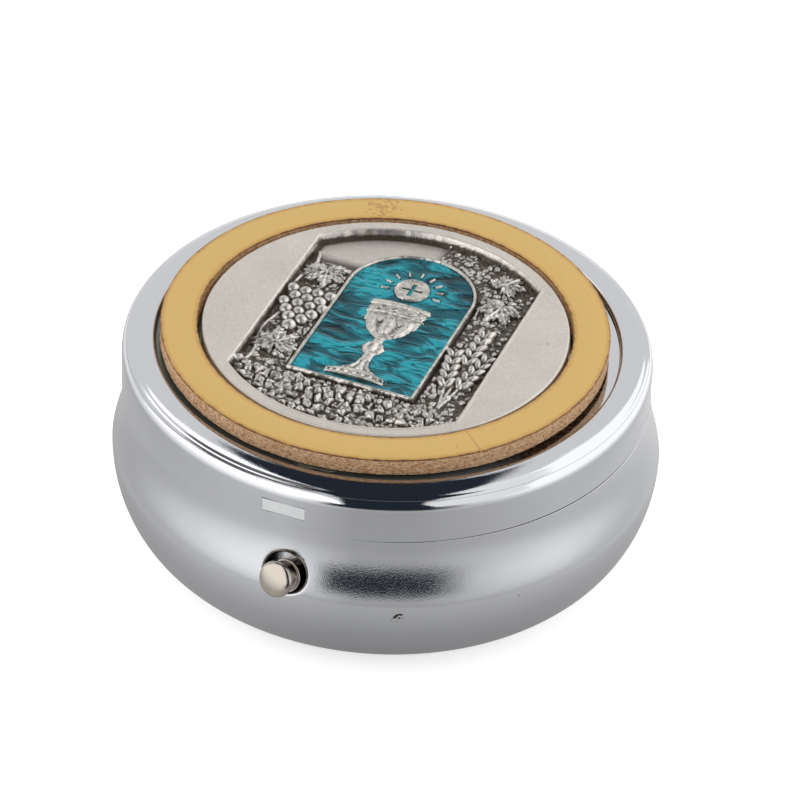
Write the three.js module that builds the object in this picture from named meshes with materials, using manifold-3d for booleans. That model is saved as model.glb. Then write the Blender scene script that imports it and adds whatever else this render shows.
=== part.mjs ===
// Round pyx with a press-button latch. A chromed belly box holds a gilt cup for the hosts, and its
// hinged lid is set with a gold-faced ring round a cast medallion.
// Millimetres, +Z up. The button is towards -Y and the hinge towards +Y. The origin is on the box's
// axis, at the face that it rests on.
import * as THREE from "three";
import { mergeVertices } from "three/addons/utils/BufferGeometryUtils.js";
import Module from "manifold-3d";

// Fits
const weldStep = 0.001; // corners closer than this are one corner
const overrun = 1; // how far a cut runs past what it cuts
const brazeGap = 0.1; // between sheets that are brazed, soldered or glued
const seamGap = 0.1; // between the neck and the lid's skirt
const runningGap = 0.08; // between the hinge pin and its knuckles
const looseGap = 0.15; // between pieces that move past each other
const seatGap = 0.04; // between the button and the strip that it leans on

// Belly shell
const bellyRadius = 25;
const bellyHeight = 9.2; // height of the widest ring
const bellyFlare = 6.5; // from the flat foot's edge out to the widest ring
const neckDraw = 1.2; // from the widest ring in to the neck
const neckTop = 15.45;
const neckSweepShare = 0.63; // under 1, the belly leaves its widest ring faster than it meets the neck
const shellSheet = 0.45;
const neckLedge = 0.75; // how far the neck's edge turns in

// Collar that stands in the neck
const collarSheet = 0.4;
const collarRise = 3.21; // above the neck
const collarDrop = 3.04; // below the neck
const collarBead = 0.3; // height of the bead that is caught under the neck's edge
const collarNotch = 2.34; // depth of its notch for hinge and spring, below the neck's top

// Gilt cup for the hosts
const cupInset = 3.9; // from the neck's face in to the cup
const cupSheet = 0.4;
const cupCorner = 1.6;
const cupLedgeDepth = 0.4; // from the neck's top down to the cup's ledge
const cupUpstand = 2.3; // rim above the ledge, pressed into the collar

// Lid shell
const lidOverhang = 0.16; // from the neck's face out to the skirt's
const skirtHeight = 3.13;
const shoulderWidth = 0.74;
const shoulderRise = 1.18;
const beadInset = 0.57; // from the shoulder in to the fine line where the rolled rim starts
const beadRise = 0.1;
const crestInset = 0.85; // from that line in to the highest ring of the rolled rim
const crestRise = 0.31; // above the shoulder
const lipWidth = 0.6; // from the highest ring in to the well's edge
const wellLipDrop = 0.22; // from the crest down to the well's edge
const wellDepth = 0.33; // from the well's edge down to its floor
const wellSlope = 0.3; // how far the well's wall leans in
const lidSideSlip = 0.25; // the hinge lets the lid sit this far towards -X
const linerInset = 1.51; // from the skirt's inner face in to the liner
const linerSheet = 0.25;
const linerBeadInset = 2.6; // from the liner's edge in to its bead
const linerBeadWidth = 0.5;
const linerBeadDrop = 0.12;

// Ring and medallion in the well
const ringGap = 0.65; // from the well's floor edge in to the ring
const ringWidth = 3.35;
const boardThickness = 1.49;
const foilThickness = 0.12;
const ringLift = 0.45; // the glue holds the ring this far above the well's floor
const ringShiftX = -0.25; // set by hand, so neither is quite central
const ringShiftY = -0.2;
const ringGlueWidth = 1.6;
const medalGap = 0.35; // from the ring in to the medallion
const medalShiftX = -0.17;
const medalShiftY = -0.27;
const medalGlueInset = 2.96;
const medalLift = 0.25;
const pictureRim = 1.15; // from the medallion's edge in to the round ends of the sunk picture
const pictureDepth = 1;

// Relief of the picture, as it is drawn before it is fitted across to the medallion
const pictureHalfWidth = 10.87; // straight sides of the sunk picture
const pictureSide = 5.68; // from those sides out to the medallion's edge
const archHalfWidth = 5.3; // enamel arch, from its centre line to its ridge
const archSpring = 3.4; // height of its round top's centre above the medallion's centre
const archFoot = -8.6;
const archRidge = 0.55;
const archRidgeHeight = 0.62;
const enamelDepth = 0.4;
const enamelGap = 0.08;
const chaliceHeight = 0.86; // of the relief, above the sunk ground
const chaliceFoot = -8.2;
const chaliceRim = 2.2;
const chaliceHalf = 2.6; // half width at its rim
const chaliceShares = [
  [0, 1.04],
  [0.06, 1.04],
  [0.13, 0.47],
  [0.24, 0.19],
  [0.33, 0.19],
  [0.38, 0.45],
  [0.44, 0.45],
  [0.49, 0.19],
  [0.55, 0.19],
  [0.62, 0.67],
  [0.74, 0.95],
  [1, 1],
]; // of its height and of its half width at the rim
const hostRadius = 1.75;
const hostCentre = 4.6;
const hostHeight = 0.7;
const rayCount = 9;
const rayLength = 0.8;
const rayWidth = 0.32;
const rayStart = 2.15; // from the host's centre
const raySpread = 200; // degrees that the rays fan over
const rayHeight = 0.6;
const grapeRadius = 0.76;
const grapeRows = [4, 3, 4, 3, 2, 1];
const grapeTop = [-8.25, 2.6];
const grapePitch = 1.22;
const leafRadius = 2.35;
const leafLobes = 5;
const leafLobeShare = 0.34; // how deep a leaf is cut between its lobes
const leaves = [
  [-8.2, 5.7, 12],
  [-8.6, -6.5, 160],
  [8.1, 7.4, -30],
]; // centre and turn in degrees
const leafHeight = 0.5;
const vineFoot = [-10.1, -9.6];
const vineTop = 9.2;
const vineSway = 0.35;
const vineWidth = 0.5;
const vineHeight = 0.36;
const vineWaves = 2.5;
const kernelLength = 0.9;
const kernelWidth = 0.42;
const kernelPairs = 4;
const kernelPitch = 1.3;
const kernelSplay = 28; // degrees between a kernel and its stalk
const earFoot = [8.35, -8.9]; // where the stalks are tied
const ears = [
  [-10, 3.9],
  [0.5, 7.6],
  [11, 4.2],
]; // lean in degrees, and reach from the tie to the first kernels
const stalkWidth = 0.36;
const stalkHeight = 0.35;
const beadSink = 0.06; // centres of the round beads lie this far under the ground
const stoneRadius = 1.02;
const stoneDepthShare = 0.88;
const stoneHeight = 0.68;
const stoneRows = [
  [-10.45, 13, 0],
  [-12, 11, 0.35],
  [-13.5, 7, -0.25],
]; // height, count and sideways shift of each row of ground stones
const stonePitch = 1.63;
const sunkRelief = 0.12; // how far the relief runs into the ground under it

// Latch
const holeDrop = 1.41; // from the collar's lower edge down to the centre of the button's hole
const holeRadius = 1.88;
const holeTilt = 15; // degrees that the shell faces up at the hole
const buttonSlip = 0.06; // the button sits this far towards +X in its hole
const buttonDrop = 0.22; // and this far below the hole's centre
const buttonTilt = 20; // degrees that the button points up
const buttonLean = 13; // degrees that it leans towards -X
const barrelRadius = 1.38;
const rimRadius = 1.5; // rim round the barrel, inside the hole
const rimDepth = 0.3;
const rimSink = 0.06; // from the shell's face in to the rim
const headReach = 1.17; // from the shell's face out to the back of the head
const headRadius = 1.62;
const headEdge = 0.32;
const headDome = 0.5;
const stemRadius = 0.6;
const stemHeadRadius = 0.95; // stem's end, set over the washer
const stemHeadHeight = 0.2;
const washerRadius = 1.25;
const washerSheet = 0.3;
const strip = 0.4; // thickness of the latch spring
const stripWidth = 4.6;
const stripSideSlip = 0.57; // the strip and its nose stand this far towards -X
const pivotHeight = 3.6; // of the rivets, about which the strip bends
const padHalf = 1;
const padGap = 0.3; // from the cup to the strip's pad
const seatDepth = 2.5; // from the hole to the strip, along the button
const seatHalf = 1.9;
const stripTopGap = 0.45; // from the strip's upper end to the collar
const stripBendRise = 1.6; // height of the bend above the button's seat
const noseHeight = 1.42;
const noseAbove = 1.2; // from the lid's lower edge up to the nose
const noseWidth = 3.96;
const noseInset = 0.1; // the nose's face lies this far inside the skirt's face
const noseSlope = 0.2; // fall of the nose's upper face
const windowSide = 0.07; // window's clearance beside the nose
const windowLift = 0.06; // below and above the nose
const slotSide = 0.35; // collar slot's clearance beside the nose
const slotLift = 0.35;
const rivetRadius = 0.5;
const rivetHeadRadius = 0.9;
const rivetHeadHeight = 0.35;
const rivetSpread = 1.4; // of each rivet from the strip's centre line

// Hinge
const hingeOut = 0.6; // from the neck's face out to the pin
const hingeRise = 0.3; // from the neck's top up to the pin
const knuckleRadius = 1.2;
const pinRadius = 0.5;
const pinHeadRadius = 0.75;
const pinHeadLength = 0.3;
const baseKnuckleFrom = 4.4;
const baseKnuckleTo = 6.2;
const lidKnuckleFrom = 2.2;
const lidKnuckleTo = 3.95;
const leafSheet = 0.25;
const webSheet = 0.45;
const webReach = 2.1; // from the pin in to the leaf
const baseLeafHeight = 2;
const baseLeafDrop = 1.24; // from the neck's top down to the leaf's upper edge
const lidLeafHeight = 1.8;
const lidLeafRise = 1.35; // from the pin up to the leaf's lower edge
const notchSide = 0.4; // clearance beside the outer knuckles
const notchRound = 0.2; // clearance above and below the knuckles
const springRadius = 0.9; // of the wire's centre line
const springWire = 0.35;
const springPitch = 0.85;
const springTurns = 3.5;
const springLegUp = 1.5;
const springLegDown = 1.6;
const springBend = 0.7; // height of the bend between a leg and the turns
const springBendShare = 0.12; // how far up that bend it has come half way out

// Counts of facets
const roundSteps = 64;
const smallSteps = 24;
const bellySteps = 7;
const neckSteps = 6;
const bellyInnerSteps = 4;
const neckInnerSteps = 3;
const shoulderSteps = 3;
const cornerSteps = 3;
const domeSteps = 3;
const beadSides = 7;
const beadRings = 4;
const leafSteps = 30;
const vineSteps = 12;
const wireSides = 6;
const wireStepsPerTurn = 8;

// Heights and radii that follow
const footRadius = bellyRadius - bellyFlare;
const neckRadius = bellyRadius - neckDraw;
const cupRadius = neckRadius - cupInset;
const lidRadius = neckRadius + lidOverhang;
const beadRadius = lidRadius - shoulderWidth - beadInset;
const crestRadius = beadRadius - crestInset;
const wellRadius = crestRadius - lipWidth;
const ringOuterRadius = wellRadius - wellSlope - ringGap;
const ringInnerRadius = ringOuterRadius - ringWidth;
const medalRadius = ringInnerRadius - medalGap;
const pictureRadius = medalRadius - pictureRim;
const drawnRadius = pictureHalfWidth + pictureSide;
const lidLow = neckTop + seamGap;
const shoulderLow = lidLow + skirtHeight;
const shoulderTop = shoulderLow + shoulderRise;
const crestHeight = shoulderTop + crestRise;
const wellEdgeHeight = crestHeight - wellLipDrop;
const wellFloor = wellEdgeHeight - wellDepth;
const ringTop = wellFloor + ringLift + boardThickness + foilThickness;
const pictureFloor = ringTop - pictureDepth;
const collarRadius = neckRadius - neckLedge - brazeGap;
const collarInnerRadius = collarRadius - collarSheet;
const collarTop = neckTop + collarRise;
const holeHeight = neckTop - collarDrop - holeDrop;
const buttonHeight = holeHeight - buttonDrop;
const cupUpstandRadius = collarInnerRadius - brazeGap;
const cupLedgeHeight = neckTop - cupLedgeDepth;
const cupFloor = shellSheet + looseGap;
const skirtInnerRadius = lidRadius - shellSheet;
const linerRadius = skirtInnerRadius - linerInset;
const linerBeadRadius = linerRadius - linerBeadInset;
const pinY = neckRadius + hingeOut;
const pinHeight = neckTop + hingeRise;
const padFaceRadius = cupRadius + padGap + strip;
const noseLow = lidLow + noseAbove;
const noseTop = noseLow + noseHeight;
const stripTopRadius = collarInnerRadius - stripTopGap;

const wasm = await Module();
wasm.setup();

const radians = THREE.MathUtils.degToRad;

// Materials, one for each finish of the real pieces
function finish(color, roughness, metalness, opacity = 1) {
  return new THREE.MeshStandardMaterial({ color, roughness, metalness, opacity, transparent: opacity < 1 });
}
const chromePlate = finish(0xc9cbcf, 0.18, 1);
const nickelPlate = finish(0xd2c7b6, 0.25, 1);
const springSteel = finish(0xa9abb0, 0.35, 1);
const giltBrass = finish(0xd9b25a, 0.25, 1);
const cutBoard = finish(0xb08e6a, 0.9, 0);
const goldFoil = finish(0xd7b873, 0.5, 0.3);
const antiqueSilver = finish(0xbdb7ae, 0.45, 0.9);
const turquoiseEnamel = finish(0x008aa0, 0.15, 0, 0.9);
const clearGlue = finish(0xd8d8d0, 0.3, 0, 0.6);

// A closed solid from a geometry: shared corners welded, empty triangles dropped, faces outwards.
function solidOf(geometry) {
  const bare = new THREE.BufferGeometry();
  bare.setAttribute("position", geometry.getAttribute("position").clone());
  if (geometry.index) bare.setIndex(geometry.index.clone());
  const welded = mergeVertices(bare, weldStep);
  const corners = Array.from(welded.index.array);
  const triangles = [];
  for (let i = 0; i < corners.length; i += 3) {
    const [a, b, c] = corners.slice(i, i + 3);
    if (a !== b && b !== c && c !== a) triangles.push(a, b, c);
  }
  const closed = (list) =>
    new wasm.Manifold(
      new wasm.Mesh({
        numProp: 3,
        vertProperties: welded.attributes.position.array,
        triVerts: new Uint32Array(list),
      }),
    );
  const made = closed(triangles);
  return made.volume() > 0 ? made : closed(triangles.reverse());
}

// The geometry of a solid, for its mesh.
function geometryOf(solid) {
  const skin = solid.getMesh();
  const geometry = new THREE.BufferGeometry();
  geometry.setAttribute("position", new THREE.BufferAttribute(skin.vertProperties, skin.numProp));
  geometry.setIndex(new THREE.BufferAttribute(skin.triVerts, 1));
  geometry.computeVertexNormals();
  return geometry;
}

function piece(name, solid, material) {
  const mesh = new THREE.Mesh(geometryOf(solid), material);
  mesh.name = name;
  return mesh;
}

// A turned solid from [radius, height] points, round the Z axis.
function turned(outline, steps = roundSteps) {
  const points = outline.map(([radius, height]) => new THREE.Vector2(radius, height));
  return new THREE.LatheGeometry(points, steps).rotateX(Math.PI / 2);
}

// A plain disc or ring between two heights.
function ring(outerRadius, innerRadius, low, high, steps = roundSteps) {
  const outline = [
    [innerRadius, low],
    [outerRadius, low],
    [outerRadius, high],
    [innerRadius, high],
  ];
  if (innerRadius > 0) outline.push(outline[0]);
  return turned(outline, steps);
}

// A flat shape raised from one height to another.
function raised(shape, low, high) {
  const options = { depth: high - low, bevelEnabled: false, curveSegments: smallSteps };
  return new THREE.ExtrudeGeometry(shape, options).translate(0, 0, low);
}

function block(fromX, toX, fromY, toY, fromZ, toZ) {
  const box = new THREE.BoxGeometry(toX - fromX, toY - fromY, toZ - fromZ);
  return solidOf(box.translate((fromX + toX) / 2, (fromY + toY) / 2, (fromZ + toZ) / 2));
}

// A round bar along X at a given place.
function barAlongX(radius, fromX, toX, y, z) {
  const bar = new THREE.CylinderGeometry(radius, radius, toX - fromX, smallSteps).rotateZ(Math.PI / 2);
  return solidOf(bar.translate((fromX + toX) / 2, y, z));
}

// Points of an elliptic arc, with angles in degrees from the outward direction.
function arc(centreR, centreZ, halfR, halfZ, from, to, steps) {
  const points = [];
  for (let i = 0; i <= steps; i++) {
    const angle = radians(from + ((to - from) * i) / steps);
    points.push([centreR + halfR * Math.cos(angle), centreZ + halfZ * Math.sin(angle)]);
  }
  return points;
}

// The same curve moved to its left-hand side by a sheet's thickness.
function inset(outline, thickness) {
  return outline.map(([radius, height], i) => {
    const before = outline[Math.max(i - 1, 0)];
    const after = outline[Math.min(i + 1, outline.length - 1)];
    const along = new THREE.Vector2(after[0] - before[0], after[1] - before[1]).normalize();
    return [radius - along.y * thickness, height + along.x * thickness];
  });
}

function union(solids) {
  return solids.reduce((sum, solid) => sum.add(solid));
}

// Belly shell

// The belly's outer radius at a height above its widest ring.
function bellyRadiusAt(height) {
  const share = (height - bellyHeight) / (neckTop - bellyHeight);
  const drawnIn = ((1 - Math.cos(Math.PI * share)) / 2) ** neckSweepShare;
  return bellyRadius - (bellyRadius - neckRadius) * drawnIn;
}

function bellyOutline(lowerSteps, upperSteps) {
  const outline = arc(footRadius, bellyHeight, bellyRadius - footRadius, bellyHeight, -90, 0, lowerSteps);
  for (let i = 1; i <= upperSteps; i++) {
    const height = bellyHeight + ((neckTop - bellyHeight) * i) / upperSteps;
    outline.push([bellyRadiusAt(height), height]);
  }
  return outline;
}

// A frame on the shell's face: +Z points out, leaning towards -X and tilted up by the given degrees.
function faceFrame(x, height, lean, tilt) {
  const out = new THREE.Vector3(
    -Math.sin(radians(lean)) * Math.cos(radians(tilt)),
    -Math.cos(radians(lean)) * Math.cos(radians(tilt)),
    Math.sin(radians(tilt)),
  );
  const turn = new THREE.Quaternion().setFromUnitVectors(new THREE.Vector3(0, 0, 1), out);
  const place = new THREE.Vector3(x, -bellyRadiusAt(height), height);
  return new THREE.Matrix4().compose(place, turn, new THREE.Vector3(1, 1, 1));
}

// A turned piece of the button, put in its place in the hole.
function inButtonPlace(geometry) {
  return solidOf(geometry.applyMatrix4(faceFrame(buttonSlip, buttonHeight, buttonLean, buttonTilt)));
}

// Space round the knuckles at the back, from one height to another.
function backNotch(low, high) {
  const side = baseKnuckleTo + notchSide;
  return block(-side, side, pinY - webReach - overrun, pinY + knuckleRadius + overrun, low, high);
}

function baseShell() {
  const outer = bellyOutline(bellySteps, neckSteps);
  const ledgeRadius = neckRadius - neckLedge;
  const underLedge = neckTop - shellSheet;
  const inner = inset(bellyOutline(bellyInnerSteps, neckInnerSteps), shellSheet).filter(
    ([, height]) => height < underLedge - shellSheet,
  );
  const outline = [
    [0, 0],
    ...outer,
    [ledgeRadius, neckTop],
    [ledgeRadius, underLedge],
    [neckRadius - shellSheet, underLedge],
    ...inner.reverse(),
    [0, shellSheet],
  ];
  const hole = ring(holeRadius, 0, -neckLedge - shellSheet, overrun, smallSteps);
  return solidOf(turned(outline))
    .subtract(solidOf(hole.applyMatrix4(faceFrame(0, holeHeight, 0, holeTilt))))
    .subtract(backNotch(pinHeight - knuckleRadius - notchRound, neckTop + overrun));
}

function collarRing() {
  const beadTop = neckTop - shellSheet - brazeGap;
  const beadOuter = neckRadius - shellSheet - brazeGap;
  const low = neckTop - collarDrop;
  const outline = [
    [collarInnerRadius, low],
    [collarRadius, low],
    [collarRadius, beadTop - collarBead],
    [beadOuter, beadTop - collarBead],
    [beadOuter, beadTop],
    [collarRadius, beadTop],
    [collarRadius, collarTop],
    [collarInnerRadius, collarTop],
    [collarInnerRadius, low],
  ];
  const slotHalf = noseWidth / 2 + slotSide;
  const slot = block(
    -stripSideSlip - slotHalf,
    -stripSideSlip + slotHalf,
    -collarRadius - overrun,
    -collarInnerRadius + overrun,
    noseLow - slotLift,
    noseTop + slotLift,
  );
  return solidOf(turned(outline))
    .subtract(slot)
    .subtract(backNotch(neckTop - collarNotch, collarTop + overrun));
}

// Places of the two latch rivets along X
const rivetPlaces = [-stripSideSlip - rivetSpread, -stripSideSlip + rivetSpread];

// A rivet's hole through cup and strip, along Y.
function rivetHole(x, radius) {
  const bar = new THREE.CylinderGeometry(radius, radius, padFaceRadius, smallSteps);
  return solidOf(bar.translate(x, -padFaceRadius, pivotHeight));
}

function innerCup() {
  const floor = cupFloor + cupSheet;
  const innerRadius = cupRadius - cupSheet;
  const ledgeTop = cupLedgeHeight + cupSheet;
  const upstandTop = cupLedgeHeight + cupUpstand;
  const cornerArc = (radius, from, to) =>
    arc(cupRadius - cupCorner, cupFloor + cupCorner, radius, radius, from, to, cornerSteps);
  const outline = [
    [0, cupFloor],
    ...cornerArc(cupCorner, -90, 0),
    [cupRadius, cupLedgeHeight],
    [cupUpstandRadius, cupLedgeHeight],
    [cupUpstandRadius, upstandTop],
    [cupUpstandRadius - cupSheet, upstandTop],
    [cupUpstandRadius - cupSheet, ledgeTop],
    [innerRadius, ledgeTop],
    ...cornerArc(cupCorner - cupSheet, 0, -90),
    [0, floor],
  ];
  const notchHalf = stripWidth / 2 + looseGap;
  const notch = block(
    -stripSideSlip - notchHalf,
    -stripSideSlip + notchHalf,
    -collarRadius,
    -cupRadius - looseGap,
    cupLedgeHeight - overrun,
    upstandTop + overrun,
  );
  const holes = rivetPlaces.map((x) => rivetHole(x, rivetRadius + brazeGap));
  return holes.reduce((cup, hole) => cup.subtract(hole), solidOf(turned(outline)).subtract(notch));
}

// A latch rivet with both heads set, along Y: a head inside the cup and one on the strip.
function latchRivet(x) {
  const reach = Math.abs(x) + rivetHeadRadius;
  const innerFace = Math.sqrt((cupRadius - cupSheet) ** 2 - reach ** 2) - brazeGap;
  const outerFace = padFaceRadius + looseGap;
  const outline = [
    [0, innerFace - rivetHeadHeight],
    [rivetHeadRadius * Math.SQRT1_2, innerFace - rivetHeadHeight],
    [rivetHeadRadius, innerFace],
    [rivetRadius, innerFace],
    [rivetRadius, outerFace],
    [rivetHeadRadius, outerFace],
    [rivetHeadRadius * Math.SQRT1_2, outerFace + rivetHeadHeight],
    [0, outerFace + rivetHeadHeight],
  ];
  return solidOf(turned(outline, smallSteps).rotateX(Math.PI / 2).translate(x, 0, pivotHeight));
}

// A side outline, [outward radius, height], raised along X about the strip's centre line.
function acrossStrip(outline, width) {
  const corners = outline.map(([radius, height]) => new THREE.Vector2(radius, height));
  const turn = new THREE.Matrix4().makeBasis(
    new THREE.Vector3(0, -1, 0),
    new THREE.Vector3(0, 0, 1),
    new THREE.Vector3(-1, 0, 0),
  );
  const plate = raised(new THREE.Shape(corners), -width / 2, width / 2);
  return solidOf(plate.applyMatrix4(turn).translate(-stripSideSlip, 0, 0));
}

// Outer face of the latch strip from its pad to its top, [outward radius, height].
function stripFace() {
  const tilt = radians(buttonTilt);
  const seatRadius = bellyRadiusAt(buttonHeight) - seatDepth * Math.cos(tilt);
  const seatHeight = buttonHeight - seatDepth * Math.sin(tilt);
  const reach = [seatHalf * Math.sin(tilt), seatHalf * Math.cos(tilt)];
  return [
    [padFaceRadius, pivotHeight - padHalf],
    [padFaceRadius, pivotHeight + padHalf],
    [seatRadius + reach[0], seatHeight - reach[1]],
    [seatRadius - reach[0], seatHeight + reach[1]],
    [stripTopRadius, seatHeight + reach[1] + stripBendRise],
    [stripTopRadius, noseTop],
  ];
}

function latchSpring() {
  const face = stripFace();
  const strap = acrossStrip([...face, ...inset(face, strip).reverse()], stripWidth);
  const tip = lidRadius - noseInset;
  const back = stripTopRadius - strip;
  const nose = acrossStrip(
    [
      [back, noseLow],
      [tip, noseLow],
      [tip, noseTop - noseSlope],
      [stripTopRadius, noseTop],
      [back, noseTop],
    ],
    noseWidth,
  );
  const shoulders = [-1, 1].map((side) => {
    const inner = (side * noseWidth) / 2 - stripSideSlip;
    const outer = side * (stripWidth / 2 + overrun) - stripSideSlip;
    const ends = [inner, outer].sort((a, b) => a - b);
    return block(...ends, -tip, -back + overrun, noseLow - slotLift, noseTop + overrun);
  });
  const holeBack = -seatDepth - washerSheet - overrun;
  const stemHole = ring(stemRadius + looseGap, 0, holeBack, -seatDepth + overrun, smallSteps);
  const cuts = [
    ...shoulders,
    inButtonPlace(stemHole),
    ...rivetPlaces.map((x) => rivetHole(x, rivetRadius + looseGap)),
  ];
  return cuts.reduce((sum, cut) => sum.subtract(cut), strap.add(nose));
}

// Depths along the button. It leans on the strip, so only one side of its barrel touches.
const leanRise = Math.sin(radians(buttonLean));
const barrelBack = -seatDepth + barrelRadius * leanRise + seatGap;
const washerNear = -seatDepth - strip - washerRadius * leanRise - seatGap;
const washerFar = washerNear - washerSheet;

function pushButton() {
  const rimBack = -rimSink - rimDepth;
  const headFront = headReach + headEdge;
  const headLow = washerFar - seatGap;
  const outline = [
    [0, headLow - stemHeadHeight],
    [stemHeadRadius * Math.SQRT1_2, headLow - stemHeadHeight],
    [stemHeadRadius, headLow],
    [stemRadius, headLow],
    [stemRadius, barrelBack],
    [barrelRadius, barrelBack],
    [barrelRadius, rimBack],
    [rimRadius, rimBack],
    [rimRadius, -rimSink],
    [barrelRadius, -rimSink],
    [barrelRadius, headReach],
    [headRadius, headReach],
    ...arc(0, headFront, headRadius, headDome, 0, 90, domeSteps),
  ];
  return inButtonPlace(turned(outline, smallSteps));
}

function buttonWasher() {
  return inButtonPlace(ring(washerRadius, stemRadius + looseGap, washerFar, washerNear, smallSteps));
}

// Lid shell, from its skirt's lower edge over the rolled rim to the centre of the well
function lidOutline() {
  const shoulderInner = lidRadius - shoulderWidth;
  return [
    [lidRadius, lidLow],
    ...arc(shoulderInner, shoulderLow, shoulderWidth, shoulderRise, 0, 90, shoulderSteps),
    [beadRadius, shoulderTop + beadRise],
    [(beadRadius + crestRadius) / 2, crestHeight - beadRise / 2],
    [crestRadius, crestHeight],
    [wellRadius, wellEdgeHeight],
    [wellRadius - wellSlope, wellFloor],
  ];
}

function lidShell() {
  const outer = lidOutline();
  const inner = inset([...outer, [0, wellFloor]], shellSheet).slice(0, -1);
  inner[0] = [skirtInnerRadius, lidLow];
  const outline = [...outer, [0, wellFloor], [0, wellFloor - shellSheet], ...inner.reverse(), outer[0]];
  const windowHalf = noseWidth / 2 + windowSide;
  const windowX = lidSideSlip - stripSideSlip;
  const skirtWindow = block(
    windowX - windowHalf,
    windowX + windowHalf,
    -lidRadius - overrun,
    -skirtInnerRadius + overrun,
    noseLow - windowLift,
    noseTop + windowLift,
  );
  return solidOf(turned(outline))
    .subtract(skirtWindow)
    .subtract(backNotch(lidLow - overrun, pinHeight + knuckleRadius + notchRound));
}

function lidLiner() {
  const top = wellFloor - shellSheet - brazeGap;
  const low = top - linerSheet;
  const outline = [
    [0, low],
    [linerBeadRadius - linerBeadWidth, low],
    [linerBeadRadius, low - linerBeadDrop],
    [linerBeadRadius + linerBeadWidth, low],
    [linerRadius, low],
    [linerRadius, top],
    [0, top],
  ];
  return solidOf(turned(outline));
}

// The stretch of a leaf's curved sheet between two places along X.
function leafStretch(outer, fromX, toX, low, high) {
  const whole = solidOf(ring(outer, outer - leafSheet, low, high));
  return whole.intersect(block(fromX, toX, 0, outer + overrun, low - overrun, high + overrun));
}

// A curved leaf of the hinge. At each knuckle the sheet runs on to a web, which carries the knuckle.
function hingeLeaf(size) {
  const parts = [leafStretch(size.outer, -size.to, size.to, size.low, size.high)];
  for (const side of [-1, 1]) {
    const ends = [side * size.from, side * size.to].sort((a, b) => a - b);
    parts.push(barAlongX(knuckleRadius, ends[0], ends[1], pinY, pinHeight));
    parts.push(block(ends[0], ends[1], size.webInner, pinY, size.webLow, size.webLow + webSheet));
    parts.push(leafStretch(size.outer, ends[0], ends[1], size.joinLow, size.joinHigh));
  }
  const bore = barAlongX(pinRadius + runningGap, -size.to - overrun, size.to + overrun, pinY, pinHeight);
  return union(parts).subtract(bore);
}

function baseHingeLeaf() {
  const high = neckTop - baseLeafDrop;
  const webLow = pinHeight - knuckleRadius - brazeGap;
  const outer = collarRadius + brazeGap + leafSheet;
  return hingeLeaf({
    outer,
    from: baseKnuckleFrom,
    to: baseKnuckleTo,
    low: high - baseLeafHeight,
    high,
    webLow,
    webInner: Math.sqrt((outer - leafSheet) ** 2 - baseKnuckleTo ** 2),
    joinLow: high - webSheet,
    joinHigh: webLow + webSheet,
  });
}

function lidHingeLeaf() {
  const low = pinHeight + lidLeafRise;
  const webLow = pinHeight + knuckleRadius + brazeGap - webSheet;
  const outer = skirtInnerRadius - brazeGap;
  return hingeLeaf({
    outer,
    from: lidKnuckleFrom,
    to: lidKnuckleTo,
    low,
    high: low + lidLeafHeight,
    webLow,
    webInner: Math.sqrt((outer - leafSheet) ** 2 - lidKnuckleTo ** 2),
    joinLow: webLow,
    joinHigh: low + webSheet,
  });
}

function hingePin() {
  const end = baseKnuckleTo + looseGap;
  const outline = [
    [0, -end - pinHeadLength],
    [pinHeadRadius * Math.SQRT1_2, -end - pinHeadLength],
    [pinHeadRadius, -end],
    [pinRadius, -end],
    [pinRadius, end],
    [pinHeadRadius, end],
    [pinHeadRadius * Math.SQRT1_2, end + pinHeadLength],
    [0, end + pinHeadLength],
  ];
  return solidOf(turned(outline, smallSteps).rotateY(Math.PI / 2).translate(0, pinY, pinHeight));
}

// Centre line of the torsion spring: a leg up from the base leaf, the turns round the pin, and a leg
// up the lid's leaf.
function springLine() {
  const startX = (-springTurns * springPitch) / 2;
  const legGap = springWire / 2 + brazeGap;
  const lowLegY = collarRadius + brazeGap - legGap;
  const highLegY = skirtInnerRadius - brazeGap - leafSheet - legGap;
  const lowZ = pinHeight - springRadius;
  const highZ = pinHeight + springRadius;
  const halfway = springBend * springBendShare;
  const points = [
    new THREE.Vector3(startX, lowLegY, lowZ - springLegDown),
    new THREE.Vector3(startX, lowLegY, lowZ - springBend),
    new THREE.Vector3(startX, lowLegY + springBend / 2, lowZ - halfway),
  ];
  const steps = springTurns * wireStepsPerTurn;
  for (let i = 0; i <= steps; i++) {
    const turn = i / wireStepsPerTurn;
    const angle = -Math.PI / 2 + turn * 2 * Math.PI;
    points.push(
      new THREE.Vector3(
        startX + turn * springPitch,
        pinY + springRadius * Math.cos(angle),
        pinHeight + springRadius * Math.sin(angle),
      ),
    );
  }
  points.push(
    new THREE.Vector3(-startX, highLegY + springBend / 2, highZ + halfway),
    new THREE.Vector3(-startX, highLegY, highZ + springBend),
    new THREE.Vector3(-startX, highLegY, highZ + springLegUp),
  );
  return points;
}

// The least gap between turns of the wire, measured on the points of its centre line.
function leastGap(points, wire) {
  const window = Math.ceil(wireStepsPerTurn / 2);
  let least = Infinity;
  for (let i = 0; i < points.length; i++) {
    for (let j = i + window; j < points.length; j++) {
      least = Math.min(least, points[i].distanceTo(points[j]) - wire);
    }
  }
  return least;
}

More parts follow.
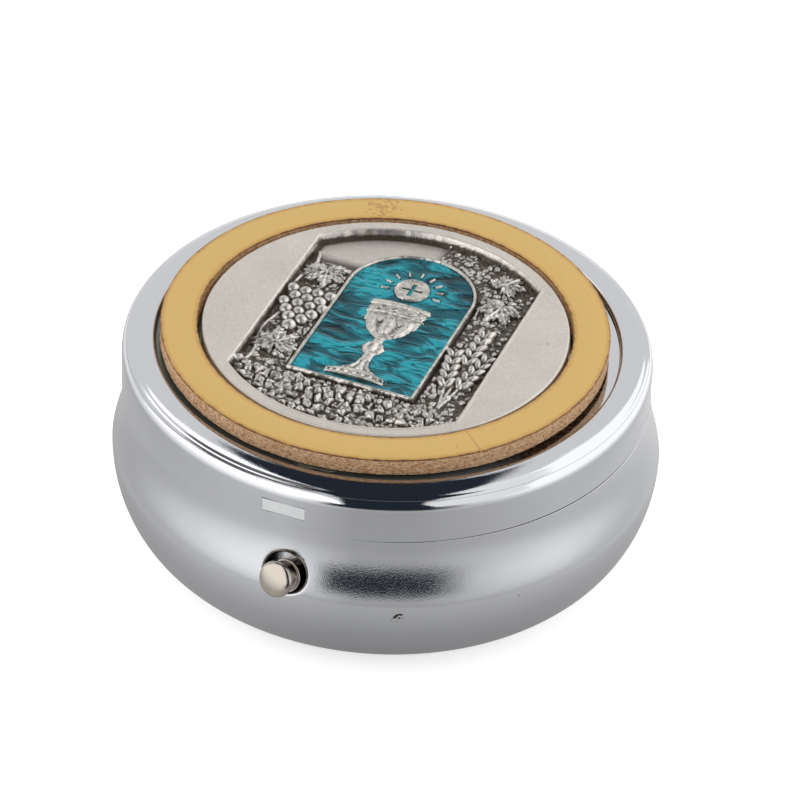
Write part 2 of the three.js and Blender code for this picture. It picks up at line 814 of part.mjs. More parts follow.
function lidSpring() {
  const points = springLine();
  console.log(`lid_spring: least gap between its turns ${leastGap(points, springWire).toFixed(2)} mm`);
  const section = new THREE.Shape();
  for (let i = 0; i < wireSides; i++) {
    const angle = (i * 2 * Math.PI) / wireSides;
    const corner = [(springWire / 2) * Math.cos(angle), (springWire / 2) * Math.sin(angle)];
    if (i === 0) section.moveTo(...corner);
    else section.lineTo(...corner);
  }
  const extrudePath = new THREE.CatmullRomCurve3(points);
  const steps = points.length + wireStepsPerTurn;
  return solidOf(new THREE.ExtrudeGeometry(section, { steps, extrudePath }));
}

// Picture of the medallion: shapes in its plane, with the medallion's centre at zero, which are then
// fitted across to the medallion that the ring takes
function fitted(solid) {
  const fit = medalRadius / drawnRadius;
  return solid.scale([fit, fit, 1]);
}

// An arch that is round at its top and straight at its foot, drawn in or out by a margin.
function archShape(margin) {
  const half = archHalfWidth + margin;
  const shape = new THREE.Shape();
  shape.moveTo(-half, archFoot - margin);
  shape.lineTo(half, archFoot - margin);
  shape.absarc(0, archSpring, half, 0, Math.PI, false);
  return shape;
}

// A chalice seen from the side, drawn out by a margin.
function chaliceShape(margin) {
  const height = chaliceRim - chaliceFoot;
  const right = chaliceShares.map(([heightShare, widthShare], i) => {
    const end = i === 0 ? -margin : i === chaliceShares.length - 1 ? margin : 0;
    return new THREE.Vector2(widthShare * chaliceHalf + margin, chaliceFoot + heightShare * height + end);
  });
  const left = right.map((point) => new THREE.Vector2(-point.x, point.y)).reverse();
  return new THREE.Shape([...right, ...left]);
}

function discShape(centreY, radius) {
  const shape = new THREE.Shape();
  shape.absarc(0, centreY, radius, 0, 2 * Math.PI, false);
  return shape;
}

// Short rays that fan out over the host, as turned boxes drawn out by a margin.
function raySolids(low, high, margin) {
  const solids = [];
  for (let i = 0; i < rayCount; i++) {
    const angle = 90 + raySpread * (i / (rayCount - 1) - 0.5);
    const bar = new THREE.BoxGeometry(rayLength + 2 * margin, rayWidth + 2 * margin, high - low);
    bar.translate(rayStart + rayLength / 2, 0, (low + high) / 2);
    solids.push(solidOf(bar.rotateZ(radians(angle)).translate(0, hostCentre, 0)));
  }
  return solids;
}

// A bead half sunk in the picture's ground. The spin sets where its facets' corners lie.
function bead(x, y, [halfX, halfY, halfZ], turn, spin) {
  const ball = new THREE.SphereGeometry(1, beadSides, beadRings).rotateX(Math.PI / 2).rotateZ(spin);
  ball.scale(halfX, halfY, halfZ).rotateZ(turn);
  return solidOf(ball.translate(x, y, pictureFloor - beadSink));
}

// A bunch of grapes: rows of berries, each row narrower than the one above.
function grapeBunch() {
  const berries = [];
  grapeRows.forEach((count, row) => {
    for (let i = 0; i < count; i++) {
      const x = grapeTop[0] + (i - (count - 1) / 2) * grapePitch;
      const y = grapeTop[1] - row * grapePitch * Math.cos(radians(30));
      berries.push(bead(x, y, [grapeRadius, grapeRadius, grapeRadius], 0, row + i));
    }
  });
  return berries;
}

// A vine leaf: a round leaf cut in between its lobes.
function vineLeaf([x, y, turn]) {
  const points = [];
  for (let i = 0; i < leafSteps; i++) {
    const angle = (i * 2 * Math.PI) / leafSteps;
    const radius = leafRadius * (1 - leafLobeShare * (1 + Math.cos(leafLobes * angle)) * 0.5);
    points.push(new THREE.Vector2(radius * Math.sin(angle), -radius * Math.cos(angle)));
  }
  const leaf = raised(new THREE.Shape(points), pictureFloor - sunkRelief, pictureFloor + leafHeight);
  return solidOf(leaf.rotateZ(radians(turn)).translate(x, y, 0));
}

// The vine's stem, which sways on its way up.
function vineStem() {
  const edges = [1, -1].map((side) => {
    const edge = [];
    for (let i = 0; i <= vineSteps; i++) {
      const share = i / vineSteps;
      const sway = vineSway * Math.sin(2 * Math.PI * vineWaves * share);
      const x = vineFoot[0] + sway + (side * vineWidth) / 2;
      edge.push(new THREE.Vector2(x, vineFoot[1] + (vineTop - vineFoot[1]) * share));
    }
    return edge;
  });
  const shape = new THREE.Shape([...edges[0], ...edges[1].reverse()]);
  return solidOf(raised(shape, pictureFloor - sunkRelief, pictureFloor + vineHeight));
}

// Ears of wheat on stalks that fan out of one tie.
function wheatEars() {
  const solids = [];
  for (const [lean, start] of ears) {
    const along = new THREE.Vector2(Math.sin(radians(lean)), Math.cos(radians(lean)));
    const length = start + kernelPairs * kernelPitch;
    const stalk = new THREE.BoxGeometry(stalkWidth, length, stalkHeight + sunkRelief);
    stalk.translate(0, length / 2, pictureFloor + (stalkHeight - sunkRelief) / 2).rotateZ(radians(-lean));
    solids.push(solidOf(stalk.translate(earFoot[0], earFoot[1], 0)));
    for (let i = 0; i < kernelPairs; i++) {
      for (const side of [-1, 1]) {
        const reach = start + i * kernelPitch;
        const across = side * kernelWidth;
        const x = earFoot[0] + along.x * reach + along.y * across;
        const y = earFoot[1] + along.y * reach - along.x * across;
        const turn = radians(-lean - side * kernelSplay);
        solids.push(bead(x, y, [kernelWidth, kernelLength, kernelWidth], turn, i + side));
      }
    }
  }
  return solids;
}

function groundStones() {
  const halves = [stoneRadius, stoneRadius * stoneDepthShare, stoneHeight];
  const stones = [];
  for (const [y, count, shift] of stoneRows) {
    for (let i = 0; i < count; i++) {
      stones.push(bead(shift + (i - (count - 1) / 2) * stonePitch, y, halves, 0, i + y));
    }
  }
  return stones;
}

// The sunk picture's outline, from a height to above the medallion.
function pictureWindow(low) {
  const high = ringTop + overrun;
  const round = solidOf(ring(pictureRadius, 0, low, high));
  const sides = block(-pictureHalfWidth, pictureHalfWidth, -drawnRadius, drawnRadius, low, high);
  return round.intersect(fitted(sides));
}

function medallion() {
  const sunk = pictureFloor - sunkRelief;
  const ridge = archShape(archRidge);
  ridge.holes.push(new THREE.Path(archShape(0).getPoints(smallSteps).reverse()));
  const relief = [
    solidOf(raised(ridge, sunk, pictureFloor + archRidgeHeight)),
    solidOf(raised(chaliceShape(0), sunk, pictureFloor + chaliceHeight)),
    solidOf(raised(discShape(hostCentre, hostRadius), sunk, pictureFloor + hostHeight)),
    ...raySolids(sunk, pictureFloor + rayHeight, 0),
    vineStem(),
    ...grapeBunch(),
    ...leaves.map(vineLeaf),
    ...wheatEars(),
    ...groundStones(),
  ];
  const blank = solidOf(ring(medalRadius, 0, wellFloor + medalLift, ringTop));
  return blank
    .subtract(pictureWindow(pictureFloor))
    .add(fitted(union(relief)).intersect(pictureWindow(sunk - sunkRelief)))
    .simplify(weldStep);
}

function enamelPool() {
  const low = pictureFloor + enamelGap;
  const high = low + enamelDepth;
  const figures = [
    solidOf(raised(chaliceShape(enamelGap), low - overrun, high + overrun)),
    solidOf(raised(discShape(hostCentre, hostRadius + enamelGap), low - overrun, high + overrun)),
    ...raySolids(low - overrun, high + overrun, enamelGap),
  ];
  return fitted(solidOf(raised(archShape(-enamelGap), low, high)).subtract(union(figures)));
}

function moved(solid, x, y) {
  return solid.translate([x, y, 0]);
}

function fixedBody() {
  const group = new THREE.Group();
  group.add(piece("base_shell", baseShell(), chromePlate));
  group.add(piece("collar_ring", collarRing(), nickelPlate));
  group.add(piece("inner_cup", innerCup(), giltBrass));
  group.add(piece("latch_rivet_left", latchRivet(rivetPlaces[0]), springSteel));
  group.add(piece("latch_rivet_right", latchRivet(rivetPlaces[1]), springSteel));
  group.add(piece("base_hinge_leaf", baseHingeLeaf(), nickelPlate));
  group.add(piece("hinge_pin", hingePin(), springSteel));
  group.add(piece("lid_spring", lidSpring(), springSteel));
  return group;
}

function latch() {
  const group = new THREE.Group();
  group.add(piece("latch_spring", latchSpring(), springSteel));
  group.add(piece("push_button", pushButton(), nickelPlate));
  group.add(piece("button_washer", buttonWasher(), springSteel));
  return group;
}

function lid() {
  const group = new THREE.Group();
  const boardLow = wellFloor + ringLift;
  const foilLow = boardLow + boardThickness;
  const glueRadius = (ringOuterRadius + ringInnerRadius) / 2;
  const glueOuter = glueRadius + ringGlueWidth / 2;
  const glueInner = glueRadius - ringGlueWidth / 2;
  const ringGlue = solidOf(ring(glueOuter, glueInner, wellFloor, boardLow));
  const board = solidOf(ring(ringOuterRadius, ringInnerRadius, boardLow, foilLow));
  const foil = solidOf(ring(ringOuterRadius, ringInnerRadius, foilLow, ringTop));
  const medalGlue = solidOf(ring(medalRadius - medalGlueInset, 0, wellFloor, wellFloor + medalLift));
  group.add(piece("lid_shell", lidShell(), chromePlate));
  group.add(piece("lid_liner", lidLiner(), giltBrass));
  group.add(piece("lid_hinge_leaf", lidHingeLeaf(), nickelPlate));
  group.add(piece("ring_glue", moved(ringGlue, ringShiftX, ringShiftY), clearGlue));
  group.add(piece("mdf_ring", moved(board, ringShiftX, ringShiftY), cutBoard));
  group.add(piece("gold_face", moved(foil, ringShiftX, ringShiftY), goldFoil));
  group.add(piece("medallion_glue", moved(medalGlue, medalShiftX, medalShiftY), clearGlue));
  group.add(piece("medallion", moved(medallion(), medalShiftX, medalShiftY), antiqueSilver));
  group.add(piece("enamel", moved(enamelPool(), medalShiftX, medalShiftY), turquoiseEnamel));
  group.position.x = -lidSideSlip;
  return group;
}

const pyx = new THREE.Group();
pyx.add(fixedBody(), latch(), lid());

export default pyx;
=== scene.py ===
"""Looks of a round pyx with a press-button latch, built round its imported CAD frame.

Sizes are in millimetres, and `MM` turns them to Blender's metres where a mesh is made. The box rests on
the XY plane with its axis on Z. The button is towards -Y, and an angle of zero points that way.
"""

import logging
import math
from collections.abc import Callable, Sequence
from dataclasses import dataclass, field
from enum import Enum
from functools import partial

import bpy
import numpy as np
from bpy.types import Material, Node, NodeSocket, NodeTree, Object
from mathutils import Matrix, Vector

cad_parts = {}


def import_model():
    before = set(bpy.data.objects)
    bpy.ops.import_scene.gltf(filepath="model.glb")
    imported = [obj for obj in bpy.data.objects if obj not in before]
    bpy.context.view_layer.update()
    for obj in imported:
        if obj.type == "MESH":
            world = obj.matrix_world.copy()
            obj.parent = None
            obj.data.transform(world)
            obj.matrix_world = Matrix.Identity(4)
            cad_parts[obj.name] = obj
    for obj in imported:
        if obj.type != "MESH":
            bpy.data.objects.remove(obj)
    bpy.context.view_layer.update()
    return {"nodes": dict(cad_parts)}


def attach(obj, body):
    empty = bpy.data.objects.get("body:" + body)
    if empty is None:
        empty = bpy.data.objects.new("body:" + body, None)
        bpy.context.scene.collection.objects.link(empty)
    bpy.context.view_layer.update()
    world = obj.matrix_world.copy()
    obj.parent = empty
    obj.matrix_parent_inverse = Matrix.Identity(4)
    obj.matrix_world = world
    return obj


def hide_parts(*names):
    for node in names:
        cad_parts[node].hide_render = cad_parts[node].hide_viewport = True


LOG = logging.getLogger("pyx")
MM = 0.001
SMOOTH_ANGLE = math.radians(38)
TINY = 1e-6
FAR = 99.0
Point = tuple[float, float]
Spot = tuple[float, float, float]
Face = tuple[int, ...]
Notch = tuple[float, float, float, float]
Colour = tuple[float, float, float, float]
Panel = tuple[str, float, float, tuple[Spot, ...]]
Array = np.ndarray
Adder = Callable[..., Node]


class Body(Enum):
    """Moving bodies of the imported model."""

    BASE = "base"
    LATCH = "latch"
    LID = "lid"


class Slot(Enum):
    """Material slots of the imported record."""

    CHROME = "chrome_plate"
    NICKEL = "nickel_plate"
    STEEL = "spring_steel"
    GILT = "gilt_brass"
    BOARD = "fibre_board"
    FOIL = "gold_foil"
    GLUE = "clear_glue"
    SILVER = "antique_silver"
    ENAMEL = "turquoise_enamel"


@dataclass(frozen=True)
class Sizes:
    """Sizes that several sub-assemblies and finishes share, in millimetres."""

    belly: float = 25.0
    belly_height: float = 9.2
    foot: float = 18.5
    neck: float = 23.8
    neck_top: float = 15.49
    neck_sweep: float = 0.63
    neck_bend: float = 0.02
    sheet: float = 0.45
    ledge: float = 0.75
    lid: float = 23.96
    lid_low: float = 15.55
    lid_slip: float = -0.25
    strip_slip: float = -0.57
    well_floor: float = 19.62
    ring_centre: Point = (-0.5, -0.2)
    ring_outer: float = 20.25
    ring_inner: float = 16.9
    board_low: float = 20.07
    board_high: float = 21.56
    ring_top: float = 21.679
    hole_height: float = 11.0
    pin_y: float = 24.4
    pin_height: float = 15.75

    def belly_radius(self, height: float) -> float:
        """The belly's outer radius above its widest ring.

        Args:
            height: Height above the floor.

        Returns:
            The radius there.
        """
        share = (height - self.belly_height) / (self.neck_top - self.belly_height)
        swept = ((1 - math.cos(math.pi * share)) / 2) ** self.neck_sweep
        return self.belly - (self.belly - self.neck) * swept


SIZES = Sizes()


# Node helpers


def linear(hex_colour: str) -> Colour:
    """Turn an sRGB hex colour to the linear values that shaders take.

    Args:
        hex_colour: Six hex digits.

    Returns:
        Linear red, green and blue, and full opacity.
    """
    parts = [int(hex_colour[i : i + 2], 16) / 255 for i in (0, 2, 4)]
    red, green, blue = (v / 12.92 if v <= 0.04045 else ((v + 0.055) / 1.055) ** 2.4 for v in parts)
    return red, green, blue, 1.0


def per_mm(size: float) -> float:
    """Texture scale, in cells per metre, for a cell of a size in millimetres."""
    return 1 / (size * MM)


def in_metres(spot: Spot) -> Spot:
    """Turn a place in millimetres to metres."""
    return tuple(part * MM for part in spot)


def add_node(
    tree: NodeTree, kind: str, settings: dict | None = None, *inputs: object, **sockets: object
) -> Node:
    """Add one node with its settings, socket values and links.

    Args:
        tree: The node tree.
        kind: Blender's node type without its ShaderNode prefix.
        settings: Attributes of the node. `stops` holds a ramp's positions and hex colours, and
            `points` a curve's places, both in order.
        *inputs: What goes into the first sockets. A node or an output socket is linked, and anything
            else is set as a value.
        **sockets: The same by socket name, with underscores for spaces, or by `i` and the socket's
            number.

    Returns:
        The new node.
    """
    made = tree.nodes.new("ShaderNode" + kind)
    for key, value in (settings or {}).items():
        if key == "stops":
            elements = made.color_ramp.elements
            while len(elements) < len(value):
                elements.new(1.0)
            for element, (position, colour) in zip(elements, value):
                element.position = position
                element.color = linear(colour)
        elif key == "points":
            curve = made.mapping.curves[0].points
            while len(curve) < len(value):
                curve.new(1.0, 1.0)
            for point, place in zip(curve, value):
                point.location = place
                point.handle_type = "VECTOR"
            made.mapping.update()
        else:
            setattr(made, key, value)
    for place, value in [*enumerate(inputs), *sockets.items()]:
        if isinstance(place, str):
            place = int(place[1:]) if place[1:].isdigit() else place.replace("_", " ")
        socket = made.inputs[place]
        if isinstance(value, Node):
            tree.links.new(next(o for o in value.outputs if o.enabled), socket)
        elif isinstance(value, NodeSocket):
            tree.links.new(value, socket)
        else:
            socket.default_value = value
    return made


RGBA = {"data_type": "RGBA"}
SMOOTH = {"interpolation_type": "SMOOTHSTEP"}
ABSOLUTE = {"operation": "ABSOLUTE"}
ADD = {"operation": "ADD"}
CLAMPED_ADD = {"operation": "ADD", "use_clamp": True}
ARCTAN2 = {"operation": "ARCTAN2"}
DISTANCE = {"operation": "DISTANCE"}
GREATER = {"operation": "GREATER_THAN"}
LENGTH = {"operation": "LENGTH"}
LESS = {"operation": "LESS_THAN"}
MAXIMUM = {"operation": "MAXIMUM"}
MINIMUM = {"operation": "MINIMUM"}
MULTIPLY = {"operation": "MULTIPLY"}
MULTIPLY_ADD = {"operation": "MULTIPLY_ADD"}
SCALE = {"operation": "SCALE"}
SUBTRACT = {"operation": "SUBTRACT"}


# Finishes


@dataclass(frozen=True)
class Finish:
    """A finish of the real object, made as one material."""

    name: str
    slot: Slot

    def material(self) -> Material:
        """Make the material, or take the one that is there.

        Returns:
            The Blender material.
        """
        found = bpy.data.materials.get(self.name)
        if found:
            return found
        made = bpy.data.materials.new(self.name)
        made.use_nodes = True
        made.node_tree.nodes.clear()
        node = partial(add_node, made.node_tree)
        node("OutputMaterial", Surface=self.surface(node))
        return made

    def surface(self, node: Adder) -> Node:
        """Build the shader. Each finish has its own.

        Args:
            node: Adds a node.

        Returns:
            The shader.
        """
        raise NotImplementedError


@dataclass(frozen=True)
class LappedChrome(Finish):
    """Drawn steel sheet, chromium-plated. The drawing leaves a fine grain that breaks the edges of
    reflections into specks on the belly and less on the polished lid, and a slow ripple that bends
    them. The sheet's inner side is dull, and its dark grey is partly painted shade of the box's inside.
    The lid's well, all but its right side, is painted greyer as shade of the gap under the ring. The
    rolled edge inside the button's hole is painted near-black as shade."""

    colour: str = "C5C6C9"
    # Dull inner side, painted dark grey as the shade inside the box.
    dull_and_shade: str = "5C5C5E"
    # Painted shade of the gap under the ring, laid on the well's floor.
    well_shade: str = "70746D"
    bare: str = "43352A"
    # Painted shade inside the button's hole.
    hole: str = "2A1F18"
    roughness: float = 0.045
    dull_roughness: float = 0.4
    grain: float = 0.1
    grain_depth: float = 0.006
    lid_from: float = 15.5
    lid_grain: float = 0.35
    ripple: float = 5.0
    ripple_depth: float = 0.02
    well_shade_start: float = 10.0
    well_shade_end: float = 17.0
    well_shade_metal: float = 0.3
    well: float = 22.3
    well_low: float = 19.3
    well_top: float = 19.84
    nick_at: Spot = (10.1, -22.85, 8.1)
    nick_radius: float = 1.7
    flake: float = 0.75
    speck_pitch: float = 3.2
    speck_share: float = 0.28
    hole_radius: float = 2.06
    hole_front: float = -20.0

    def surface(self, node: Adder) -> Node:
        """Mirror metal with grain, slow ripple, and bare steel where the plating is chipped.

        Args:
            node: Adds a node.

        Returns:
            The shader.
        """
        place = node("TexCoord").outputs["Object"]
        height = node("SeparateXYZ", Vector=place).outputs["Z"]
        low, high = (self.lid_from - 0.1) * MM, (self.lid_from + 0.1) * MM
        polish = {"From_Min": low, "From_Max": high, "To_Min": 1.0, "To_Max": self.lid_grain}
        ripple = node("TexNoise", Vector=place, Scale=per_mm(self.ripple), Detail=1.0)
        wave = node("Bump", Height=ripple, Distance=self.ripple_depth * MM)
        grain = node("TexNoise", Vector=place, Scale=per_mm(self.grain), Detail=1.0)
        depth = self.grain_depth * MM
        strength = node("MapRange", Value=height, **polish)
        relief = node("Bump", Height=grain, Strength=strength, Distance=depth, Normal=wave)
        well_shade_mask, hole_shade_mask = self._well_shade(node), self._hole_shade(node)
        inside = node("Attribute", {"attribute_name": "inside"}).outputs["Fac"]
        tone = linear(self.colour)
        for mask, colour in (
            (self._chipped(node), self.bare),
            # painted shade of the gap under the ring
            (well_shade_mask, self.well_shade),
            # dull inner side, its dark grey partly painted shade
            (inside, self.dull_and_shade),
            # painted shade inside the button's hole
            (hole_shade_mask, self.hole),
        ):
            tone = node("Mix", RGBA, mask, i6=tone, i7=linear(colour))
        # Rougher on the dull inner side and in the hole's painted shade.
        darkened = node("Math", MAXIMUM, inside, hole_shade_mask)
        matt = node("Math", MULTIPLY_ADD, well_shade_mask, 0.5, darkened)
        sheen = node("MapRange", Value=matt, To_Min=self.roughness, To_Max=self.dull_roughness)
        metal = node("MapRange", Value=well_shade_mask, To_Min=1.0, To_Max=self.well_shade_metal)
        return node("BsdfPrincipled", Base_Color=tone, Metallic=metal, Roughness=sheen, Normal=relief)

    def _well_shade(self, node: Adder) -> Node:
        """Mask of the lid's well, all but its right side, where its colour is painted shade of the gap
        under the ring.

        Args:
            node: Adds a node.

        Returns:
            The mask.
        """
        place = node("TexCoord").outputs["Object"]
        split = node("SeparateXYZ", Vector=place).outputs
        flat = node("Mapping", Vector=place, Scale=(1, 1, 0))
        radius = node("VectorMath", LENGTH, flat)
        inner = node("Math", LESS, radius, self.well * MM)
        above = node("Math", GREATER, split["Z"], self.well_low * MM)
        below = node("Math", LESS, split["Z"], self.well_top * MM)
        level = node("Math", MULTIPLY, above, below)
        well = node("Math", MULTIPLY, inner, level)
        start, end = self.well_shade_start * MM, self.well_shade_end * MM
        left = node("MapRange", Value=split["X"], From_Min=end, From_Max=start)
        return node("Math", MULTIPLY, well, left)

    def _hole_shade(self, node: Adder) -> Node:
        """Mask of the rolled edge inside the button's hole, whose colour is painted shade.

        Args:
            node: Adds a node.

        Returns:
            The mask.
        """
        place = node("TexCoord").outputs["Object"]
        lowered = (0, 0, -SIZES.hole_height * MM)
        centred = node("Mapping", Vector=place, Location=lowered, Scale=(1, 0, 1))
        away = node("VectorMath", LENGTH, centred)
        edge, full = self.hole_radius * MM, (self.hole_radius - 0.1) * MM
        near = node("MapRange", Value=away, From_Min=edge, From_Max=full)
        depth = node("SeparateXYZ", Vector=place).outputs["Y"]
        front = node("Math", LESS, depth, self.hole_front * MM)
        return node("Math", MULTIPLY, near, front)

    def _chipped(self, node: Adder) -> Node:
        """Mask of the chip on the belly's front and of small specks all over.

        Args:
            node: Adds a node.

        Returns:
            The mask.
        """
        place = node("TexCoord").outputs["Object"]
        away = node("VectorMath", DISTANCE, place, in_metres(self.nick_at))
        near = node("MapRange", Value=away, From_Max=self.nick_radius * MM, To_Min=0.3, To_Max=-0.2)
        flake = node("TexNoise", Vector=place, Scale=per_mm(self.flake), Detail=3.0, Distortion=1.5)
        level = node("Math", ADD, flake, near)
        chip = node("MapRange", Value=level, From_Min=0.715, From_Max=0.74)
        cells = node("TexVoronoi", Vector=place, Scale=per_mm(self.speck_pitch)).outputs
        dot = node("MapRange", Value=cells["Distance"], From_Min=0.026, From_Max=0.018)
        draw = node("SeparateXYZ", Vector=cells["Color"]).outputs["X"]
        chosen = node("Math", GREATER, draw, 1 - self.speck_share)
        speck = node("Math", MULTIPLY, dot, chosen)
        return node("Math", MAXIMUM, chip, speck)


@dataclass(frozen=True)
class PlatedMetal(Finish):
    """Plated or plain metal with the fine marks of handling: nickel, gilding or drawn spring steel."""

    colour: str
    roughness: float
    mark: float = 0.25
    mark_depth: float = 0.003
    stretch: Spot = (1, 1, 1)

    def surface(self, node: Adder) -> Node:
        """Metal whose sheen and tone vary with its marks.

        Args:
            node: Adds a node.

        Returns:
            The shader.
        """
        place = node("TexCoord").outputs["Object"]
        drawn = node("Mapping", Vector=place, Scale=self.stretch)
        marks = node("TexNoise", Vector=drawn, Scale=per_mm(self.mark), Detail=4.0)
        span = {"Value": marks, "From_Min": 0.3, "From_Max": 0.7}
        low, high = self.roughness * 0.75, self.roughness * 1.25
        sheen = node("MapRange", **span, To_Min=low, To_Max=high)
        level = node("MapRange", **span, To_Min=0.93)
        tone = node("VectorMath", SCALE, linear(self.colour)[:3], Scale=level)
        relief = node("Bump", Height=marks, Distance=self.mark_depth * MM)
        return node("BsdfPrincipled", Base_Color=tone, Metallic=1.0, Roughness=sheen, Normal=relief)


@dataclass(frozen=True)
class LaserCutBoard(Finish):
    """Wood-fibre board cut by laser. The cut shows pressed fibres in tan and brown, with torn pits and a
    few pale chips, burnt along both faces. The wider dark line along the lower face is burn and
    painted shade under the ring."""

    pale: str = "FAEBD2"
    light: str = "E8BA8C"
    dark: str = "B4835D"
    burnt: str = "6E4A30"
    fibre: float = 0.38
    fibre_depth: float = 0.12
    flattening: float = 2.4
    burnt_and_shade_low: float = 0.2
    burnt_high: float = 0.12

    def surface(self, node: Adder) -> Node:
        """Fibrous brown with a burnt line at the top and bottom of the cut; the bottom one is also
        painted shade.

        Args:
            node: Adds a node.

        Returns:
            The shader.
        """
        place = node("TexCoord").outputs["Object"]
        flat = node("Mapping", Vector=place, Scale=(1, 1, self.flattening))
        scale = per_mm(self.fibre)
        fibres = node("TexNoise", Vector=flat, Scale=scale, Detail=5.0, Roughness=0.75)
        stops = [(0.3, self.burnt), (0.4, self.dark), (0.52, self.light), (0.72, self.pale)]
        tone = node("ValToRGB", {"stops": stops}, fibres)
        height = node("SeparateXYZ", Vector=place).outputs["Z"]
        low, high = SIZES.board_low * MM, SIZES.board_high * MM
        # The line along the lower face is burn and painted shade under the ring.
        under = node("MapRange", Value=height, From_Min=low, From_Max=low + self.burnt_and_shade_low * MM)
        over = node("MapRange", Value=height, From_Min=high, From_Max=high - self.burnt_high * MM)
        middle = node("Math", MULTIPLY, under, over)
        ragged = node("Math", ADD, fibres, middle)
        char = node("MapRange", Value=ragged, From_Min=0.45, From_Max=0.85)
        shade = node("Mix", RGBA, char, i6=linear(self.burnt), i7=tone)
        relief = node("Bump", Height=fibres, Distance=self.fibre_depth * MM)
        look = {"Base_Color": shade, "Roughness": 0.8, "Specular_IOR_Level": 0.25, "Normal": relief}
        return node("BsdfPrincipled", **look)


@dataclass(frozen=True)
class GoldFoil(Finish):
    """Satin gold foil on the board's face. The laser left a thin dark line along both cuts, with an
    amber glow of heat inside it. Handling left faint specks, a rubbed patch at the back and a hairline
    crack."""

    colour: str = "D3B068"
    amber: str = "BE8C46"
    burnt: str = "714A2B"
    rubbed: str = "B98B52"
    line: float = 0.09
    glow: float = 0.5
    ragged: float = 0.9
    fray: float = 0.11
    grain: float = 0.12
    grain_depth: float = 0.004
    crack_angle: float = 45.5
    speck: float = 0.6
    rub_at: Spot = (-7.6, 17.2, 21.68)
    rub_radius: float = 2.6
    scuff: float = 0.4

    def surface(self, node: Adder) -> Node:
        """Gold whose tone follows the distance from its two cuts.

        Args:
            node: Adds a node.

        Returns:
            The shader.
        """
        place = node("TexCoord").outputs["Object"]
        x, y = SIZES.ring_centre
        back = (-x * MM, -y * MM, 0)
        centred = node("Mapping", Vector=place, Location=back, Scale=(1, 1, 0))
        radius = node("VectorMath", LENGTH, centred)
        scale, fray = per_mm(self.ragged), self.fray * MM
        wobble = node("TexNoise", Vector=place, Scale=scale, Detail=6.0, Roughness=0.75)
        shift = node("MapRange", Value=wobble, From_Min=0.3, From_Max=0.7, To_Min=-fray, To_Max=fray)
        moved = node("Math", ADD, radius, shift)
        from_outer = node("Math", SUBTRACT, SIZES.ring_outer * MM, moved)
        from_inner = node("Math", SUBTRACT, moved, SIZES.ring_inner * MM)
        nearest = node("Math", MINIMUM, from_outer, from_inner)
        warmth = node("MapRange", Value=nearest, From_Max=self.glow * MM)
        tone = node("Mix", RGBA, warmth, i6=linear(self.amber), i7=linear(self.colour))
        start, end = self.line * 0.2 * MM, self.line * 1.6 * MM
        char = node("MapRange", Value=nearest, From_Min=start, From_Max=end)
        edged = node("Mix", RGBA, char, i6=linear(self.burnt), i7=tone)
        marks = self._marks(node, centred, shift)
        marked = node("Mix", RGBA, marks, i6=edged, i7=linear(self.rubbed))
        fine = node("TexNoise", Vector=place, Scale=per_mm(self.grain), Detail=2.0)
        relief = node("Bump", Height=fine, Distance=self.grain_depth * MM)
        return node("BsdfPrincipled", Base_Color=marked, Metallic=0.35, Roughness=0.45, Normal=relief)

    def _marks(self, node: Adder, centred: Node, shift: Node) -> Node:
        """Mask of the crack, the specks and the rubbed patch.

        Args:
            node: Adds a node.
            centred: The place counted from the ring's centre, flat.
            shift: How far the cut strays, in metres.

        Returns:
            The mask.
        """
        place = node("TexCoord").outputs["Object"]
        split = node("SeparateXYZ", Vector=centred).outputs
        angle = node("Math", ARCTAN2, split["X"], split["Y"])
        along = node("Math", MULTIPLY_ADD, shift, 0.05 / MM, angle)
        away = node("Math", SUBTRACT, along, math.radians(180 - self.crack_angle))
        gap = node("Math", ABSOLUTE, away)
        crack = node("MapRange", Value=gap, From_Min=0.004, From_Max=0.002)
        speck = node("TexNoise", Vector=place, Scale=per_mm(self.speck), Detail=1.0)
        darkened = node("MapRange", Value=speck, From_Min=0.76, From_Max=0.8, To_Max=0.6)
        rub = node("VectorMath", DISTANCE, place, in_metres(self.rub_at))
        close = node("MapRange", Value=rub, From_Max=self.rub_radius * MM, To_Min=0.3, To_Max=0.0)
        scuff = node("TexNoise", Vector=place, Scale=per_mm(self.scuff), Detail=3.0)
        both = node("Math", ADD, close, scuff)
        worn = node("MapRange", Value=both, From_Min=0.68, From_Max=0.76, To_Max=0.8)
        marks = node("Math", MAXIMUM, crack, darkened)
        return node("Math", MAXIMUM, marks, worn)


